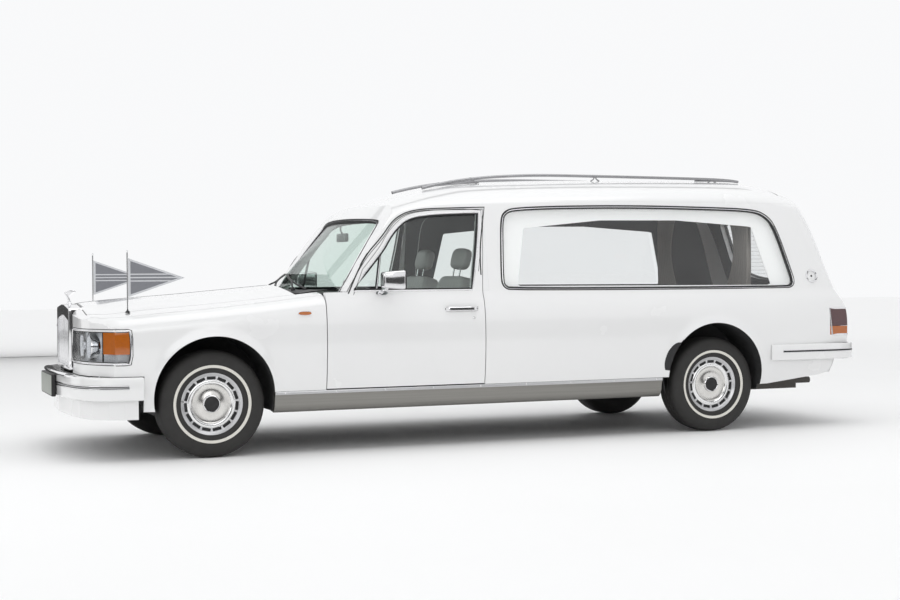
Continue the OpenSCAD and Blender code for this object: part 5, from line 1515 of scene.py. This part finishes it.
seatX, seatTop = fx(-1620), 0.624
for y, label in ((0.37, "Left"), (-0.37, "Right")):
    one = cushion("seatCushion" + label, (0.53, 0.5, 0.2), (seatX + 0.215, y, seatTop - 0.11), 9)
    if y > 0:
        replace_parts(one, "seats")
    cushion("seatBack" + label, (0.14, 0.49, 0.56), (seatX - 0.175, y, seatTop + 0.225), 9, -0.244,
            face="front")
    cushion("headrest" + label, (0.085, 0.25, 0.15), (seatX - 0.262, y, seatTop + 0.625), 0, -0.244, 3.5,
            face="front")
    posts = [tube("post", [(seatX - 0.215, y + dy, seatTop + 0.47), (seatX - 0.24, y + dy, seatTop + 0.6)],
                  0.006, 10) for dy in (-0.06, 0.06)]
    done(joined("headrestPosts" + label, *posts), chrome, "body")
    done(box("seatBase" + label, (seatX - 0.02, y - 0.2, 0.3245), (seatX + 0.42, y + 0.2, 0.43), 0.012, 3),
         dashPlastic, "body")

# Dashboard, binnacle and steering wheel
dashRows = [(fx(-995), 0.79), (fx(-985), 0.9), (fx(-960), 0.945), (fx(-900), 0.962), (fx(-725), 0.958),
            (fx(-723), 0.77), (fx(-900), 0.762)]
dash = prism("dashTop", soften(dashRows, (4, 5), 2), -0.718, 0.718, "Y")
done(bevel(dash, 0.006, 2), dashPlastic, "body", "dashboard")
done(box("dashWood", (fx(-998), -0.66, 0.845), (fx(-985), 0.66, 0.9), 0.004, 2), deckWood, "body")
hood = box("binnacle", (fx(-940), 0.22, 0.945), (fx(-790), 0.52, 0.9878), 0.02, 4)
done(hood, dashPlastic, "body")
wheelAt, rake = Vector((fx(-1120), 0.37, 0.93)), math.radians(24 - 90)
ringPath = [(0.188 * math.cos(a), 0.188 * math.sin(a), 0) for a in np.linspace(0, math.tau, 72,
                                                                               endpoint=False)]
parts = [tube("rim", ringPath, 0.0125, 14, True)]
for a in (90, 210, 330):
    c, s = math.cos(math.radians(a)), math.sin(math.radians(a))
    parts.append(tube("spoke",
                      [(0.03 * c, 0.03 * s, -0.004), (0.11 * c, 0.11 * s, -0.002), (0.184 * c, 0.184 * s, 0)],
                      [0.014, 0.009, 0.008], 10))
parts.append(lathe("hub",
                   [(0, 0.012), (0.03, 0.01), (0.041, 0.002), (0.042, -0.012), (0.02, -0.012), (0.02, -0.11),
                    (0, -0.11)], (0, 0, 0), 1, 40, "Z"))
steering = joined("steeringWheel", *parts)
steering.data.transform(Matrix.Translation(wheelAt) @ Matrix.Rotation(rake, 4, "Y"))
done(steering, dashPlastic, "body", "steering_wheel", 40)

# Deck fittings, and drapes that hang across the rear corners
deckLow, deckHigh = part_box("coffin_deck")
for sign, label in ((1, "Left"), (-1, "Right")):
    y = sign * 0.33
    done(box("deckRail" + label, (deckLow.x + 0.05, y - 0.015, deckHigh.z),
             (deckHigh.x - 0.05, y + 0.015, deckHigh.z + 0.012), 0.003, 2), chrome, "body")
rollers = []
for x in np.linspace(deckLow.x + 0.12, deckHigh.x - 0.2, 8):
    rollers.append(lathe("roller",
                         [(0, -0.28), (0.012, -0.28), (0.014, -0.27), (0.014, 0.27), (0.012, 0.28),
                          (0, 0.28)], (x, 0, deckHigh.z + 0.016), 1, 20))
done(joined("deckRollers", *rollers), satinSilver, "body")


def drape(label, sign, y0, y1, x, zTop, zLow, folds, material):
    n, m = 110, 14
    verts = []
    for i in range(n + 1):
        u = i / n
        for j in range(m + 1):
            gather = 1 - 0.3 * math.sin(math.pi * j / m)
            y = y1 + (u - 1) * (y1 - y0) * gather
            wave = 0.016 * (1 + math.sin(u * folds * math.tau + 0.4 * math.sin(j * 0.5)))
            verts.append((x + wave, sign * y, zTop + (zLow - zTop) * j / m))
    cloth = solid(label, verts, gridFaces(n, m), False)
    thicken(cloth, 0.0012)
    done(cloth, material, "body", angle=60)
    "body_side_left" if sign > 0 else "body_side_right"
    return cloth


for sign, label in ((1, "Left"), (-1, "Right")):
    one = drape("drape" + label, sign, 0.4, 0.7, rx(-440), 1.6, 1.05, 8, curtainCloth)
    if sign > 0:
        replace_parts(one, "curtains")

# Arch liners
for end, arch, y0, y1 in (("Front", frontArch, 0.47, 0.868), ("Rear", rearArch, 0.6, 0.862)):
    rows = []
    for a in np.radians(np.linspace(-16, 196, 60)):
        c, s2 = math.cos(a), math.sin(a)
        lo, hi = arch["r"] + 0.006, arch["r"] + 0.011
        rows.append([(arch["x"] + r * c, y, arch["z"] + r * s2) for r,
                     y in ((lo, y0), (lo, y1), (hi, y1), (hi, y0))])
    pair(loft("archLiner" + end, rows), underSeal, "body", angle=40)

# Guards along the rear arches
guard = {"start": math.radians(8), "stop": math.radians(44), "wide": 0.05, "edge": 0.004}
rows = []
for a in np.linspace(guard["start"], guard["stop"], 20):
    x0 = rearArch["x"] + (rearArch["r"] + 0.001) * math.cos(a)
    z0 = rearArch["z"] + (rearArch["r"] + 0.001) * math.sin(a)
    share = min(1, (a - guard["start"]) / (guard["stop"] - guard["start"]) + 0.12)
    wide = guard["wide"] * math.sin(math.pi * share)**0.5 + guard["edge"]
    x1 = rearArch["x"] + (rearArch["r"] + wide) * math.cos(a)
    z1 = rearArch["z"] + (rearArch["r"] + wide) * math.sin(a)
    ya, yb = float(skinY(x0, z0)), float(skinY(x1, z1))
    rows.append([(x0, ya + 0.0015, z0), (x1, yb + 0.0015, z1), (x1, yb - 0.004, z1), (x0, ya - 0.01, z0)])
pair(loft("guardRear", rows), blackRubber, "body", angle=60)

# Carried-over pieces get their finish
for name, material in (("floor_pan", underSeal), ("front_panel", blackTrim), ("front_valance", whitePaint),
                       ("gate_hinges", castMetal), ("wheel_houses", underSeal), ("engine_block", castMetal),
                       ("front_subframe", underSeal),
                       ("rear_axle", castMetal), ("exhaust", exhaustSteel), ("partition", greyLining),
                       ("coffin_deck", deckWood),
                       ("knuckle_left", castMetal), ("knuckle_right", castMetal)):
    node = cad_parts[name]
    node.data.materials.clear()
    node.data.materials.append(material)
for spare in (outer, shell, doorHole, frontShell, frontOuter):
    bpy.data.objects.remove(spare)
print("inside and underside finished")

# Floor, light and camera
def stageAll():
    floorFinish = Finish("paleFloor", (0.8, 0.79, 0.77), 0.7)
    floorFinish.blotch((0.93, 0.93, 0.925), (0.95, 0.95, 0.947), 0.8)
    floorFinish.bump(floorFinish.noise(60.0), 0.05, 0.001)
    bpy.ops.object.select_all(action="DESELECT")
    bpy.ops.mesh.primitive_plane_add(size=90, location=(0, 0, 0))
    floor = bpy.context.object
    floor.name = "floor"
    floor.data.materials.append(floorFinish.made)


def lamp(name, place, aim, size, power, tall=None):
    light = bpy.data.lights.new(name, "AREA")
    light.shape, light.size, light.size_y, light.energy = "RECTANGLE", size, tall or size, power
    obj = bpy.data.objects.new(name, light)
    bpy.context.scene.collection.objects.link(obj)
    obj.location = place
    obj.rotation_euler = (Vector(aim) - Vector(place)).to_track_quat("-Z", "Y").to_euler()


stageAll()
lamp("skyPanel", (0.5, 1.5, 6.5), (0, 0, 0.5), 8.0, 110, 5.0)
lamp("sideFill", (3.0, 10.0, 4.0), (0.3, 0, 0.8), 7.0, 60, 3.0)
lamp("noseFill", (9.0, 1.0, 3.0), (1.5, 0, 0.7), 4.0, 30, 2.5)
cardFinish = Finish("darkCard", (0.07, 0.07, 0.07), 0.9)
for label, low, high in (("left", (-9, 12.5, 0.0), (10, 12.6, 2.0)),
                         ("right", (-9, -12.6, 0.0), (10, -12.5, 2.0)),
                         ("nose", (14.0, -8, 0.0), (14.1, 8, 2.2)),
                         ("tail", (-14.1, -8, 0.0), (-14.0, 8, 2.2)),
                         ("overLeft", (-6, 4.2, 5.0), (6, 5.0, 5.1)),
                         ("overRight", (-6, -5.0, 5.0), (6, -4.2, 5.1))):
    card = box("card" + label.capitalize(), low, high)
    card.data.materials.append(cardFinish.made)
    card.visible_camera = card.visible_shadow = card.visible_transmission = False
world = bpy.data.worlds.new("studio")
world.use_nodes = True
world.node_tree.nodes["Background"].inputs[0].default_value = (0.985, 0.99, 1, 1)
world.node_tree.nodes["Background"].inputs[1].default_value = 0.96
bpy.context.scene.world = world
bpy.context.scene.view_settings.view_transform = "Standard"

view = bpy.data.cameras.new("view")
camera = {"place": (4.179, 10.575, 1.147), "yaw": 0.4136, "pitch": 0.0144, "roll": -0.0065, "lens": 62.24,
          "sensor": 36, "shiftX": -0.0766, "shiftY": -0.0049}
view.lens, view.sensor_width = camera["lens"], camera["sensor"]
view.shift_x, view.shift_y = camera["shiftX"], camera["shiftY"]
eye = bpy.data.objects.new("view", view)
bpy.context.scene.collection.objects.link(eye)
yaw, pitch, roll = camera["yaw"], camera["pitch"], camera["roll"]
ahead = Vector((-math.sin(yaw) * math.cos(pitch), -math.cos(yaw) * math.cos(pitch), -math.sin(pitch)))
right = ahead.cross(Vector((0, 0, 1))).normalized()
up = right.cross(ahead)
right, up = right * math.cos(roll) + up * math.sin(roll), up * math.cos(roll) - right * math.sin(roll)
eye.matrix_world = Matrix.Translation(camera["place"]) @ Matrix((right, up, -ahead)).transposed().to_4x4()
bpy.context.scene.camera = eye
print("scene finished")
